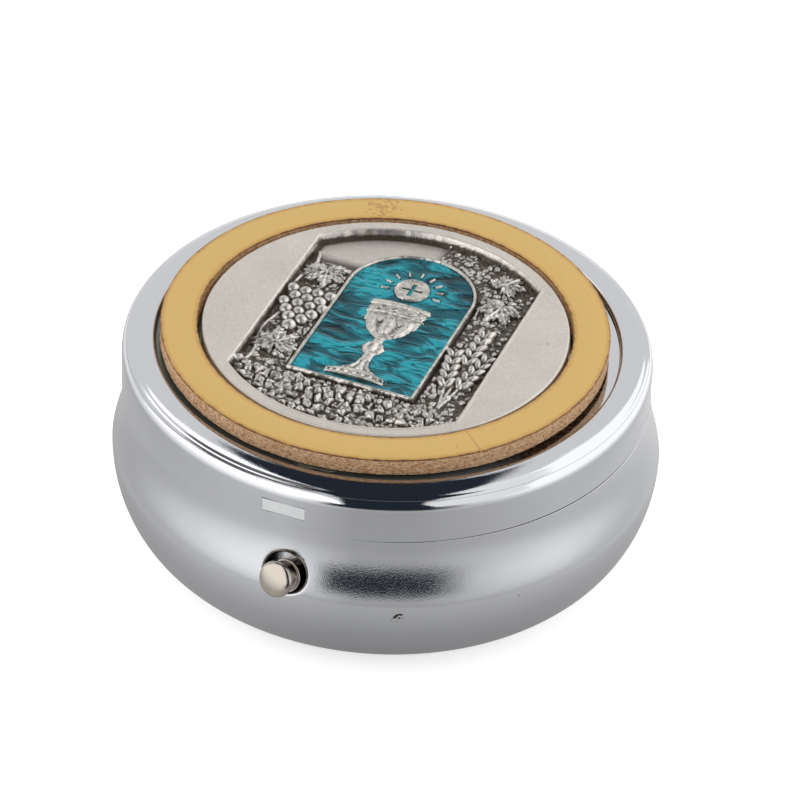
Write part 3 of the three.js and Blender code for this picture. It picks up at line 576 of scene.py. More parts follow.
@dataclass(frozen=True)
class AntiqueSilver(Finish):
    """Cast metal, silvered, blackened and rubbed. The rub brightens what stands up, the recesses keep
    an olive-brown patina, and the plain border has a sandy cast skin with a few small marks."""

    bright: str = "C9C5BE"
    middle: str = "817D77"
    deep: str = "453D2E"
    border: str = "D8D2CA"
    grit: float = 0.13
    grit_depth: float = 0.02
    blotch: float = 0.6
    cloud: float = 6.0
    pit: float = 0.9

    def surface(self, node: Adder) -> Node:
        """Silver shaded by the patina and border values that the mesh carries.

        Args:
            node: Adds a node.

        Returns:
            The shader.
        """
        place = node("TexCoord").outputs["Object"]
        dirt, flat = (
            node("Attribute", {"attribute_name": name}).outputs["Fac"] for name in ("patina", "border")
        )
        blotch = node("TexNoise", Vector=place, Scale=per_mm(self.blotch), Detail=5.0, Roughness=0.7)
        sway = node("MapRange", Value=blotch, From_Min=0.2, From_Max=0.8, To_Min=-0.3, To_Max=0.4)
        amount = node("Math", CLAMPED_ADD, dirt, sway)
        stops = [(0.0, self.bright), (0.34, self.middle), (0.66, self.deep)]
        relief_tone = node("ValToRGB", {"stops": stops}, amount)
        grit = node("TexNoise", Vector=place, Scale=per_mm(self.grit), Detail=2.0, Roughness=0.7)
        cloud = node("TexNoise", Vector=place, Scale=per_mm(self.cloud), Detail=2.0)
        mixed = node("Math", MULTIPLY_ADD, cloud, 0.35, grit)
        skin = node("MapRange", Value=mixed, From_Min=0.4, From_Max=0.95, To_Min=0.78, To_Max=1.1)
        border = node("VectorMath", SCALE, linear(self.border)[:3], Scale=skin)
        pits = node("TexNoise", Vector=place, Scale=per_mm(self.pit), Detail=1.0)
        pit = node("MapRange", Value=pits, From_Min=0.8, From_Max=0.84, To_Max=0.7)
        pitted = node("Mix", RGBA, pit, i6=border, i7=linear(self.deep))
        tone = node("Mix", RGBA, flat, i6=relief_tone, i7=pitted)
        rough = node("MapRange", Value=flat, To_Min=0.3, To_Max=0.55)
        metal = node("MapRange", Value=amount, From_Min=0.3, From_Max=0.8, To_Min=1.0, To_Max=0.1)
        bumps = node("Bump", Height=grit, Distance=self.grit_depth * MM)
        return node("BsdfPrincipled", Base_Color=tone, Metallic=metal, Roughness=rough, Normal=bumps)


@dataclass(frozen=True)
class TurquoiseEnamel(Finish):
    """Translucent enamel poured over chased silver. Light comes back from the chasing through the
    colour, deeper where the pour is thick, under a glassy top."""

    bright: str = "1C9AA8"
    middle: str = "08606D"
    deep: str = "022B34"
    chase: float = 1.6
    chase_depth: float = 0.3
    cloud: float = 4.0
    swell: float = 2.2
    swell_depth: float = 0.06

    def surface(self, node: Adder) -> Node:
        """Coloured metal under a clear coat.

        Args:
            node: Adds a node.

        Returns:
            The shader.
        """
        place = node("TexCoord").outputs["Object"]
        lying = node("Mapping", Vector=place, Rotation=(0, 0, 0.6), Scale=(0.6, 1.3, 1))
        chase = {"Scale": per_mm(self.chase), "Detail": 2.0, "Roughness": 0.5, "Distortion": 1.0}
        marks = node("TexNoise", Vector=lying, **chase)
        cloud = node("TexNoise", Vector=place, Scale=per_mm(self.cloud), Detail=1.0)
        depth = node("Math", MULTIPLY_ADD, cloud, 0.8, marks)
        stops = [(0.66, self.deep), (0.88, self.middle), (1.0, self.bright)]
        tone = node("ValToRGB", {"stops": stops}, depth)
        relief = node("Bump", Height=marks, Distance=self.chase_depth * MM)
        swell = node("TexNoise", Vector=place, Scale=per_mm(self.swell), Detail=1.0)
        top = node("Bump", Height=swell, Distance=self.swell_depth * MM)
        metal = {"Base_Color": tone, "Metallic": 0.85, "Roughness": 0.26, "Normal": relief}
        coat = {"Coat_Weight": 0.12, "Coat_Roughness": 0.04, "Coat_IOR": 1.5, "Coat_Normal": top}
        return node("BsdfPrincipled", **metal, **coat)


@dataclass(frozen=True)
class ClearGlue(Finish):
    """Clear glue that set in beads. It is wet-looking, slightly yellow, and takes in some dust."""

    colour: str = "B9B6A2"
    dust: float = 0.5
    dust_depth: float = 0.15

    def surface(self, node: Adder) -> Node:
        """Glossy, part clear.

        Args:
            node: Adds a node.

        Returns:
            The shader.
        """
        place = node("TexCoord").outputs["Object"]
        dust = node("TexNoise", Vector=place, Scale=per_mm(self.dust), Detail=3.0)
        relief = node("Bump", Height=dust, Distance=self.dust_depth * MM)
        gloss = {"Base_Color": linear(self.colour), "Roughness": 0.1, "Normal": relief}
        return node("BsdfPrincipled", **gloss, Transmission_Weight=0.8, IOR=1.47)


# Mesh helpers


def arc(centre: Point, radii: Point, start: float, end: float, steps: int) -> list[Point]:
    """Points of an elliptic arc.

    Args:
        centre: Its centre.
        radii: Its half axes.
        start: First angle in degrees, from the outward direction.
        end: Last angle in degrees.
        steps: How many stretches it has.

    Returns:
        The points, both ends included.
    """
    angles = np.radians(np.linspace(start, end, steps + 1))
    return [(centre[0] + radii[0] * math.cos(a), centre[1] + radii[1] * math.sin(a)) for a in angles]


def filleted(corners: Sequence[Spot], steps: int, closed: bool = False) -> list[Point]:
    """Round the corners of a line.

    Args:
        corners: Each corner's place and its radius, zero for a sharp one.
        steps: Stretches of each rounding.
        closed: Whether the line ends where it starts.

    Returns:
        The points of the rounded line.
    """
    points: list[Point] = []
    count = len(corners)
    for i, (x, y, radius) in enumerate(corners):
        here = Vector((x, y))
        at_end = not closed and i in (0, count - 1)
        if at_end or radius <= 0:
            points.append((x, y))
            continue
        before = Vector(corners[i - 1][:2]) - here
        after = Vector(corners[(i + 1) % count][:2]) - here
        half = before.angle(after) / 2
        reach = min(radius / math.tan(half), before.length * 0.49, after.length * 0.49)
        real = reach * math.tan(half)
        inward = (before.normalized() + after.normalized()).normalized()
        middle = here + inward * (real / math.sin(half))
        start = here + before.normalized() * reach - middle
        end = here + after.normalized() * reach - middle
        for k in range(steps + 1):
            spoke = start.lerp(end, k / steps).normalized() * real
            points.append(tuple(middle + spoke))
    return points


@dataclass
class Sketch:
    """Corners and faces of a mesh in millimetres, with values that its material reads."""

    corners: Sequence[Sequence[float]] = field(default_factory=list)
    faces: list[Face] = field(default_factory=list)
    values: dict[str, Array] = field(default_factory=dict)

    def moved(self, matrix: Matrix) -> "Sketch":
        """Move every corner.

        Args:
            matrix: The move.

        Returns:
            The same sketch.
        """
        self.corners = [tuple(matrix @ Vector(c)) for c in self.corners]
        return self

    def piece(self, name: str, body: Body, finish: Finish, stands_for: str) -> None:
        """Make the Blender object and join it to the frame.

        Args:
            name: The piece's name.
            body: The body that it rides on.
            finish: Its finish, which knows its material slot.
            stands_for: The CAD node that it replaces.
        """
        mesh = bpy.data.meshes.new(name)
        mesh.from_pydata([[v * MM for v in c] for c in self.corners], [], self.faces)
        mesh.validate()
        mesh.update()
        for key, numbers in self.values.items():
            spots = mesh.attributes.new(key, "FLOAT", "POINT").data
            spots.foreach_set("value", numbers.astype(np.float32))
        mesh.polygons.foreach_set("use_smooth", [True] * len(mesh.polygons))
        mesh.set_sharp_from_angle(angle=SMOOTH_ANGLE)
        mesh.materials.append(finish.material())
        made = bpy.data.objects.new(name, mesh)
        bpy.context.scene.collection.objects.link(made)
        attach(made, body.value)
        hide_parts(stands_for)
        LOG.info("%s: %d faces on %s", name, len(mesh.polygons), body.value)


def quad(low: Sequence[int], high: Sequence[int], j: int, k: int) -> list[Face]:
    """The face between two rows of corners and two columns.

    Args:
        low: Numbers of the lower row's corners.
        high: The same of the upper row.
        j: The first column.
        k: The next one.

    Returns:
        The face without doubled corners, or nothing if fewer than three are left.
    """
    face = tuple(dict.fromkeys((low[j], low[k], high[k], high[j])))
    return [face] if len(face) > 2 else []


def band(ring: Sequence[int], new: Sequence[int]) -> list[Face]:
    """Faces between a ring and the next one.

    Args:
        ring: Numbers of the first ring's corners.
        new: The same of the next ring.

    Returns:
        The faces.
    """
    after = [*range(1, len(ring)), 0]
    return [(ring[k], ring[n], new[n], new[k]) for k, n in enumerate(after)]


def net(rows: int, columns: int, loop: bool = False, tube: bool = True) -> list[Face]:
    """Faces between rows of corners.

    Args:
        rows: How many rows there are.
        columns: Corners in each row.
        loop: Whether the last row meets the first.
        tube: Whether each row's last corner meets its first.

    Returns:
        The faces. They face outwards where the rows run counter-clockwise, seen along the rows.
    """
    pairs = [(k, (k + 1) % columns) for k in range(columns if tube else columns - 1)]
    steps = [(i * columns, (i + 1) % rows * columns) for i in range(rows if loop else rows - 1)]
    return [(here + k, here + n, there + n, there + k) for here, there in steps for k, n in pairs]


def turned(line: Sequence[Point], segments: int = 192, closed: bool = False) -> Sketch:
    """Turn a line about the Z axis.

    Args:
        line: Radius and height of each point. It runs counter-clockwise, up on its outer side.
        segments: Number of columns.
        closed: Whether the line is a loop. If not, it starts and ends on the axis.

    Returns:
        The solid.
    """
    sketch = Sketch()
    rows: list[list[int]] = []
    angles = np.linspace(0, 2 * math.pi, segments, endpoint=False)
    for radius, height in line:
        start = len(sketch.corners)
        if radius < TINY:
            sketch.corners.append((0.0, 0.0, height))
            rows.append([start] * segments)
        else:
            sketch.corners.extend((radius * math.sin(a), -radius * math.cos(a), height) for a in angles)
            rows.append(list(range(start, start + segments)))
    if closed:
        rows.append(rows[0])
    for low, high in zip(rows, rows[1:]):
        for j in range(segments):
            sketch.faces += quad(low, high, j, (j + 1) % segments)
    return sketch


@dataclass
class Punch:
    """A round hole in the front of a turned sheet, whose edge the punch rolled inwards."""

    height: float
    radius: float
    roll: float
    tube: float
    reach: float
    rings: int = 7
    roll_steps: int = 6


@dataclass
class TurnedSheet:
    """A turned sheet of metal of one thickness, with notches and one round hole.

    The line is its outer face, up on its outer side. Columns are angles from -Y in degrees, in order,
    and a notch lies between two of them and two heights.
    """

    line: list[Point]
    thickness: float
    count: int
    notches: list[Notch] = field(default_factory=list)
    punch: Punch | None = None

    def __post_init__(self) -> None:
        """Work out the line's normals and lengths, and the columns with one at each notch's side."""
        self.columns = list(np.linspace(-180, 180, self.count, endpoint=False))
        for mark in (side for notch in self.notches for side in notch[:2] if abs(side) < 180):
            nearest = min(range(self.count), key=lambda j: abs(self.columns[j] - mark))
            self.columns[nearest] = mark
        points = np.array(self.line)
        steps = np.diff(points, axis=0)
        lengths = np.linalg.norm(steps, axis=1)
        along = steps / lengths[:, None]
        tangents = np.vstack([along[:1], along[:-1] + along[1:], along[-1:]])
        tangents /= np.linalg.norm(tangents, axis=1)[:, None]
        self.normals = np.column_stack([tangents[:, 1], -tangents[:, 0]])
        self.points = points
        self.run = np.concatenate([[0], np.cumsum(lengths)])
        self.grid: list[list[int]] = []
        self.corners: list[Array] = []
        self.outward: list[Array] = []

    def at(self, run: float, angle: float) -> tuple[Array, Array]:
        """Find a place on the outer face.

        Args:
            run: Length along the line.
            angle: Angle in radians.

        Returns:
            The place and the outward normal there.
        """
        radius, height = (np.interp(run, self.run, self.points[:, k]) for k in (0, 1))
        out, up = (np.interp(run, self.run, self.normals[:, k]) for k in (0, 1))
        size = math.hypot(out, up)
        spoke = np.array([math.sin(angle), -math.cos(angle), 0.0])
        rise = np.array([0.0, 0.0, 1.0])
        return spoke * radius + rise * height, (spoke * out + rise * up) / size

    def sketch(self) -> Sketch:
        """Build the sheet with both faces and its rims.

        Returns:
            The closed solid.
        """
        for i, run in enumerate(self.run):
            if self.points[i, 0] < TINY:
                place, normal = self.at(run, 0.0)
                middle = self._corner(place, np.array([0.0, 0.0, math.copysign(1.0, normal[2])]))
                self.grid.append([middle] * self.count)
            else:
                angles = np.radians(self.columns)
                self.grid.append([self._corner(*self.at(run, angle)) for angle in angles])
        faces = self._grid_faces()
        outer = np.array(self.corners)
        inner = outer - np.array(self.outward) * self.thickness
        return self.thickened(outer, inner, faces)

    def _corner(self, place: Array, normal: Array) -> int:
        """Add a corner to the outer face.

        Args:
            place: The corner.
            normal: Its outward normal.

        Returns:
            The corner's number.
        """
        self.corners.append(place)
        self.outward.append(normal)
        return len(self.corners) - 1

    def _grid_faces(self) -> list[Face]:
        """Faces of the outer side, without the notches and round the hole.

        Returns:
            The faces.
        """
        patch = self._patch() if self.punch else None
        faces: list[Face] = list(patch[1]) if patch else []
        for i in range(len(self.grid) - 1):
            height = (self.points[i, 1] + self.points[i + 1, 1]) / 2
            for j in range(self.count):
                k = (j + 1) % self.count
                middle = (self.columns[j] + self.columns[k] + (360 if k == 0 else 0)) / 2
                if patch and patch[0](i, j):
                    continue
                if any(a < middle < b and base < height < top for a, b, base, top in self.notches):
                    continue
                faces += quad(self.grid[i], self.grid[i + 1], j, k)
        return faces

    def _patch(self) -> tuple[Callable, list]:
        """Rings of faces between a square of the grid and the rolled hole in it.

        Returns:
            A test for the cells that the rings take the place of, and the faces.
        """
        punch = self.punch
        rising = np.arange(int(np.argmax(self.points[:, 1])) + 1)
        level = float(np.interp(punch.height, self.points[rising, 1], self.run[rising]))
        radius = float(np.interp(level, self.run, self.points[:, 0]))
        columns = np.radians(self.columns)
        span = [j for j, a in enumerate(columns) if abs(a) * radius <= punch.reach]
        rows = [i for i, run in enumerate(self.run) if abs(run - level) <= punch.reach]
        j0, j1, i0, i1 = span[0], span[-1], rows[0], rows[-1]
        loop = [(i0, j) for j in range(j0, j1)] + [(i, j1) for i in range(i0, i1)]
        loop += [(i1, j) for j in range(j1, j0, -1)] + [(i, j0) for i in range(i1, i0, -1)]
        outline = [(columns[j] * radius, self.run[i] - level) for i, j in loop]
        ring = [self.grid[i][j] for i, j in loop]
        faces: list[Face] = []
        edge = punch.radius + punch.roll
        for k in range(1, punch.rings + 1):
            share = k / punch.rings
            new = []
            for u, v in outline:
                scale = 1 - share + share * edge / math.hypot(u, v)
                spot = self.at(level + v * scale, u * scale / radius)
                new.append(self._corner(*spot))
            faces += band(ring, new)
            ring = new
        middle, _ = self.at(level, 0.0)
        rims = [(self.corners[v], self.outward[v]) for v in ring]
        turns = [(a, 0.0) for a in np.linspace(0, math.pi / 2, punch.roll_steps + 1)[1:]]
        for turn, depth in [*turns, (math.pi / 2, punch.tube)]:
            new = []
            for place, normal in rims:
                inward = middle - place
                inward = inward - normal * inward.dot(normal)
                inward = inward / np.linalg.norm(inward)
                shift = inward * math.sin(turn) - normal * (1 - math.cos(turn))
                leaning = normal * math.cos(turn) + inward * math.sin(turn)
                new.append(self._corner(place + shift * punch.roll - normal * depth, leaning))
            faces += band(ring, new)
            ring = new
        return (lambda i, j: i0 <= i < i1 and j0 <= j < j1), faces

    @staticmethod
    def thickened(outer: Array, inner: Array, faces: list[Face]) -> Sketch:
        """Close a face with its inner side and rims. The inner side is marked for the material.

        Args:
            outer: Places of the face's corners.
            inner: The same corners on the inner side.
            faces: The outer faces.

        Returns:
            The solid.
        """
        used = sorted({v for f in faces for v in f})
        renumber = {v: k for k, v in enumerate(used)}
        faces = [tuple(renumber[v] for v in f) for f in faces]
        count = len(used)
        edges = {(f[k], f[(k + 1) % len(f)]) for f in faces for k in range(len(f))}
        closed = list(faces)
        closed += [tuple(v + count for v in reversed(f)) for f in faces]
        closed += [(b, a, a + count, b + count) for a, b in edges if (b, a) not in edges]
        marks = {"inside": np.repeat([0.0, 1.0], count)}
        return Sketch(np.vstack([outer[used], inner[used]]), closed, marks)


def front_slot(middle: float, half: float, radius: float, low: float, high: float) -> Notch:
    """A slot in the front of a turned sheet.

    Args:
        middle: How far its middle is from the sheet's, to the side.
        half: Half its width.
        radius: The sheet's radius.
        low: Its lower end.
        high: Its upper end.

    Returns:
        The slot as a notch.
    """
    left, right = (math.degrees(math.asin((middle + side * half) / radius)) for side in (-1, 1))
    return left, right, low, high


def hinge_notch(angle: float, low: float, high: float) -> list[Notch]:
    """The notch for the hinge in the back of a turned sheet.

    Args:
        angle: How far it reaches to each side, in degrees.
        low: Its lower end.
        high: Its upper end.

    Returns:
        Its two halves, beside the seam of the columns.
    """
    return [(180.0 - angle, 180.0, low, high), (-180.0, angle - 180.0, low, high)]


def tube(path: Sequence[Vector], radius: float, sides: int) -> Sketch:
    """A round wire along a path, with closed ends.

    Args:
        path: Points of its centre line.
        radius: The wire's radius.
        sides: Facets round it.

    Returns:
        The solid.
    """
    corners: list[Vector] = []
    side = Vector((1.0, 0.0, 0.0))
    for i, point in enumerate(path):
        before = path[max(i - 1, 0)]
        after = path[min(i + 1, len(path) - 1)]
        along = (after - before).normalized()
        side = (side - along * side.dot(along)).normalized()
        other = along.cross(side)
        for k in range(sides):
            a = 2 * math.pi * k / sides
            corners.append(point + side * radius * math.cos(a) + other * radius * math.sin(a))
    ends = [tuple(reversed(range(sides))), tuple(range(len(corners) - sides, len(corners)))]
    return Sketch(corners, net(len(path), sides) + ends)


# The object's sub-assemblies


@dataclass
class BellyBox:
    """The body: belly shell, collar and gilt cup, the shell and collar notched for the hinge."""

    hole: Punch = field(default_factory=lambda: Punch(SIZES.hole_height, 1.88, 0.4, 0.1, 3.2))
    notch_angle: float = 16.1
    notch_low: float = 14.35
    collar_radius: float = 22.95
    collar_sheet: float = 0.4
    collar_low: float = 12.41
    collar_top: float = 18.66
    collar_notch_angle: float = 16.8
    collar_notch_low: float = 13.11
    slot_half: float = 2.33
    slot_low: float = 16.4
    slot_high: float = 18.52
    cup_radius: float = 19.9
    cup_sheet: float = 0.4
    cup_corner: float = 1.6
    cup_floor: float = 0.6
    cup_ledge: float = 15.05
    cup_top: float = 17.35
    cup_rim: float = 22.45
    cup_notch_half: float = 2.45

    def build(self) -> None:
        """Build and dress the body's pieces."""
        self.belly_shell()
        self.collar()
        self.cup()

    def belly_line(self) -> list[Point]:
        """The shell's outer line, from the middle of its flat base to the turned-in neck.

        Returns:
            Radius and height of each point.
        """
        s = SIZES
        bend = s.neck_top - s.neck_bend
        base = [(r, 0.0) for r in np.linspace(0, s.foot, 13)][:-1]
        lower = arc((s.foot, s.belly_height), (s.belly - s.foot, s.belly_height), -90, 0, 36)
        rise = s.belly_height + (bend - s.belly_height) * np.linspace(0, 1, 37)[1:] ** 1.2
        upper = [(s.belly_radius(z), z) for z in rise]
        middle = (s.belly_radius(bend) - s.neck_bend, bend)
        turn = arc(middle, (s.neck_bend, s.neck_bend), 0, 90, 5)[1:]
        return base + lower + upper + turn + [(s.neck - s.ledge, s.neck_top)]

    def belly_shell(self) -> None:
        """Chromed belly with the button's rolled hole and the hinge's notch."""
        notches = hinge_notch(self.notch_angle, self.notch_low, FAR)
        sheet = TurnedSheet(self.belly_line(), SIZES.sheet, 360, notches, self.hole)
        sheet.sketch().piece("belly_shell", Body.BASE, CHROME, "base_shell")

    def collar(self) -> None:
        """Nickelled collar with the nose's slot and the hinge's notch."""
        low, top = self.collar_low, self.collar_top
        heights = sorted({low, self.collar_notch_low, self.slot_low, self.slot_high, top - 0.06, top})
        line = [(self.collar_radius - (0.05 if z in (low, top) else 0.0), z) for z in heights]
        middle, half, radius = SIZES.strip_slip, self.slot_half, self.collar_radius
        slot = front_slot(middle, half, radius, self.slot_low, self.slot_high)
        notches = [slot, *hinge_notch(self.collar_notch_angle, self.collar_notch_low, FAR)]
        sheet = TurnedSheet(line, self.collar_sheet, 240, notches)
        sheet.sketch().piece("neck_collar", Body.BASE, NICKEL, "collar_ring")

    def cup(self) -> None:
        """Gilt cup for the hosts, with its ledge and rim, notched for the latch."""
        r, rim = self.cup_radius, self.cup_rim
        line = filleted(
            [
                (0.0, self.cup_floor, 0),
                (r, self.cup_floor, self.cup_corner),
                (r, self.cup_ledge, 0.2),
                (rim, self.cup_ledge, 0.5),
                (rim, self.cup_top, 0),
            ],
            steps=8,
        )
        slot = front_slot(SIZES.strip_slip, self.cup_notch_half, r, self.cup_ledge - 0.25, FAR)
        sheet = TurnedSheet(self._refined(line, 0.8), self.cup_sheet, 240, [slot])
        sheet.sketch().piece("host_cup", Body.BASE, GILT, "inner_cup")

    @staticmethod
    def _refined(line: list[Point], step: float) -> list[Point]:
        """Put more points into the long stretches of a line.

        Args:
            line: The line.
            step: Length that a stretch should have.

        Returns:
            The line with its new points.
        """
        points = [line[0]]
        for a, b in zip(line, line[1:]):
            count = max(1, round(math.dist(a, b) / step))
            shares = [k / count for k in range(1, count + 1)]
            points += [(a[0] + (b[0] - a[0]) * t, a[1] + (b[1] - a[1]) * t) for t in shares]
        return points


@dataclass
class Lid:
    """The lid: chromed shell, gilt liner, ring and its glue. The medallion has a class of its own."""

    sheet: float = 0.4
    shoulder_low: float = 18.68
    shoulder: Point = (0.74, 1.18)
    shoulder_end: float = 84.0
    score_angle: float = 60.0
    score_depth: float = 0.03
    rim: tuple[Point, ...] = (
        (23.22, 19.866), (23.16, 19.9), (23.06, 19.95), (22.9, 20.0), (22.7, 20.04), (22.4, 20.085),
        (22.1, 20.125), (21.8, 20.16), (21.5, 20.19), (21.3, 20.2), (21.16, 20.19), (21.07, 20.14),
        (21.01, 20.05), (20.98, 19.88), (20.95, 19.75), (20.88, 19.62),
    )
    window_half: float = 2.0
    window_low: float = 16.72
    window_high: float = 18.07
    notch_angle: float = 16.0
    notch_high: float = 17.15
    liner_low: float = 18.82
    liner_top: float = 19.07
    liner_radius: float = 22.0
    glue_radius: float = 18.575
    glue_width: float = 0.74
    squeeze_from: float = -5.0
    squeeze_to: float = 14.0
    squeeze_reach: float = 20.42

    def build(self) -> None:
        """Build and dress the lid's pieces."""
        self.shell()
        self.liner()
        self.board_ring()
        self.foil_ring()
        self.glue_bead()

    def lid_line(self) -> list[Point]:
        """The shell's outer line, from the skirt's lower edge over the rim to the well's middle.

        Returns:
            Radius and height of each point.
        """
        s = SIZES
        skirt = [(s.lid - 0.02, s.lid_low), (s.lid, s.lid_low + 0.02)]
        low, high = self.window_low, self.window_high
        levels = [16.1, low, low + 0.24, low + 0.8, high - 0.5, high, self.notch_high]
        skirt += [(s.lid, z) for z in sorted(levels)]
        centre = (s.lid - self.shoulder[0], self.shoulder_low)
        before = arc(centre, self.shoulder, 0, self.score_angle - 2, 12)
        short = (self.shoulder[0] - self.score_depth, self.shoulder[1] - self.score_depth)
        score = arc(centre, short, self.score_angle - 0.5, self.score_angle + 0.5, 1)
        after = arc(centre, self.shoulder, self.score_angle + 2, self.shoulder_end, 5)
        floor = [(r, s.well_floor) for r in np.linspace(20.3, 0, 12)]
        return [*skirt, *before, *score, *after, *self.rim, *floor]

    def shell(self) -> None:
        """Chromed lid with the nose's window and the hinge's notch."""
        middle = SIZES.strip_slip - SIZES.lid_slip
        window = front_slot(middle, self.window_half, SIZES.lid, self.window_low, self.window_high)
        notches = [window, *hinge_notch(self.notch_angle, 0.0, self.notch_high)]
        sheet = TurnedSheet(self.lid_line(), self.sheet, 480, notches)
        sketch = sheet.sketch().moved(Matrix.Translation((SIZES.lid_slip, 0, 0)))
        sketch.piece("lid_shell_sheet", Body.LID, CHROME, "lid_shell")

    def liner(self) -> None:
        """Gilt disc under the well, with two rolled beads."""
        top, low, edge = self.liner_top, self.liner_low, self.liner_radius
        under = [(0.0, low)]
        for radius in (8.0, 19.4):
            bead = ((-0.5, 0.0), (-0.25, 0.09), (0.0, 0.12), (0.25, 0.09), (0.5, 0.0))
            under += [(radius + out, low - drop) for out, drop in bead]
        line = [*under, (edge - 0.1, low), (edge, low + 0.1), (edge, top), (0.0, top)]
        sketch = turned(line).moved(Matrix.Translation((SIZES.lid_slip, 0, 0)))
        sketch.piece("lid_liner_disc", Body.LID, GILT, "lid_liner")

    def ring_wobble(self, angle: float) -> float:
        """How far the laser's cut strays at an angle in radians."""
        return 0.012 * math.sin(7 * angle + 1) + 0.008 * math.sin(23 * angle)

    def ring_sketch(self, line: Sequence[Point], rough: float) -> Sketch:
        """A ring whose cut sides are a little rough.

        Args:
            line: Closed outline, radius and height.
            rough: Height of the roughness.

        Returns:
            The ring, in its place on the lid.
        """
        sketch = turned(line, 480, closed=True)
        noise = np.random.default_rng(5).normal(0, rough, len(sketch.corners))
        shaped = []
        for (x, y, z), stray in zip(sketch.corners, noise):
            radius = math.hypot(x, y)
            side = 1 if radius > (SIZES.ring_inner + SIZES.ring_outer) / 2 else -1
            real = radius - side * (abs(stray) + 0.02) + self.ring_wobble(math.atan2(y, x))
            shaped.append((x * real / radius, y * real / radius, z))
        sketch.corners = shaped
        return sketch.moved(Matrix.Translation((*SIZES.ring_centre, 0)))

    def board_ring(self) -> None:
        """Board ring with a rough cut edge."""
        low, high = SIZES.board_low, SIZES.board_high
        outer = [(SIZES.ring_outer, z) for z in np.linspace(low + 0.04, high, 10)]
        inner = [(SIZES.ring_inner, z) for z in np.linspace(high, low + 0.04, 10)]
        line = [(SIZES.ring_inner + 0.05, low), (SIZES.ring_outer - 0.05, low), *outer, *inner]
        self.ring_sketch(line, 0.02).piece("cut_board_ring", Body.LID, BOARD, "mdf_ring")

    def foil_ring(self) -> None:
        """Gold face of the board ring."""
        low, high = SIZES.board_high, SIZES.ring_top
        inner, outer = SIZES.ring_inner, SIZES.ring_outer
        line = filleted(
            [(inner, low, 0), (outer, low, 0), (outer, high, 0.03), (inner, high, 0.03)], 3, closed=True
        )
        self.ring_sketch(line, 0.0).piece("gold_foil_face", Body.LID, FOIL, "gold_face")

    def glue_bead(self) -> None:
        """Uneven bead of glue that holds the ring above the well. It was pressed out at the front."""
        low, high = SIZES.well_floor, SIZES.board_low
        segments, sides = 360, 14
        rng = np.random.default_rng(11)
        swell = np.convolve(rng.normal(0, 1, segments + 16), np.hanning(17), "valid")[:segments]
        drops = np.convolve(rng.normal(0, 1, segments + 4), np.hanning(5), "valid")[:segments]
        corners = []
        for j in range(segments):
            degrees = (j / segments * 360 + 180) % 360 - 180
            angle = math.radians(degrees)
            width = min(max(self.glue_width + 0.07 * swell[j], 0.4), 0.81)
            share = (degrees - self.squeeze_from) / (self.squeeze_to - self.squeeze_from)
            pressed = math.sin(math.pi * share) ** 0.35 if 0 < share < 1 else 0.0
            more = (self.squeeze_reach - self.glue_radius - width + 0.12 * drops[j]) * pressed
            for k in range(sides):
                turn = 2 * math.pi * k / sides
                out = max(math.cos(turn), 0.0) * max(more, 0.0)
                radius = self.glue_radius + width * math.cos(turn) + out
                height = (low + high) / 2 + (high - low) / 2 * math.sin(turn)
                corners.append((radius * math.sin(angle), -radius * math.cos(angle), height))
        faces = [(a, d, c, b) for a, b, c, d in net(segments, sides, loop=True)]
        sketch = Sketch(corners, faces).moved(Matrix.Translation((*SIZES.ring_centre, 0)))
        sketch.piece("ring_glue_bead", Body.LID, GLUE, "ring_glue")


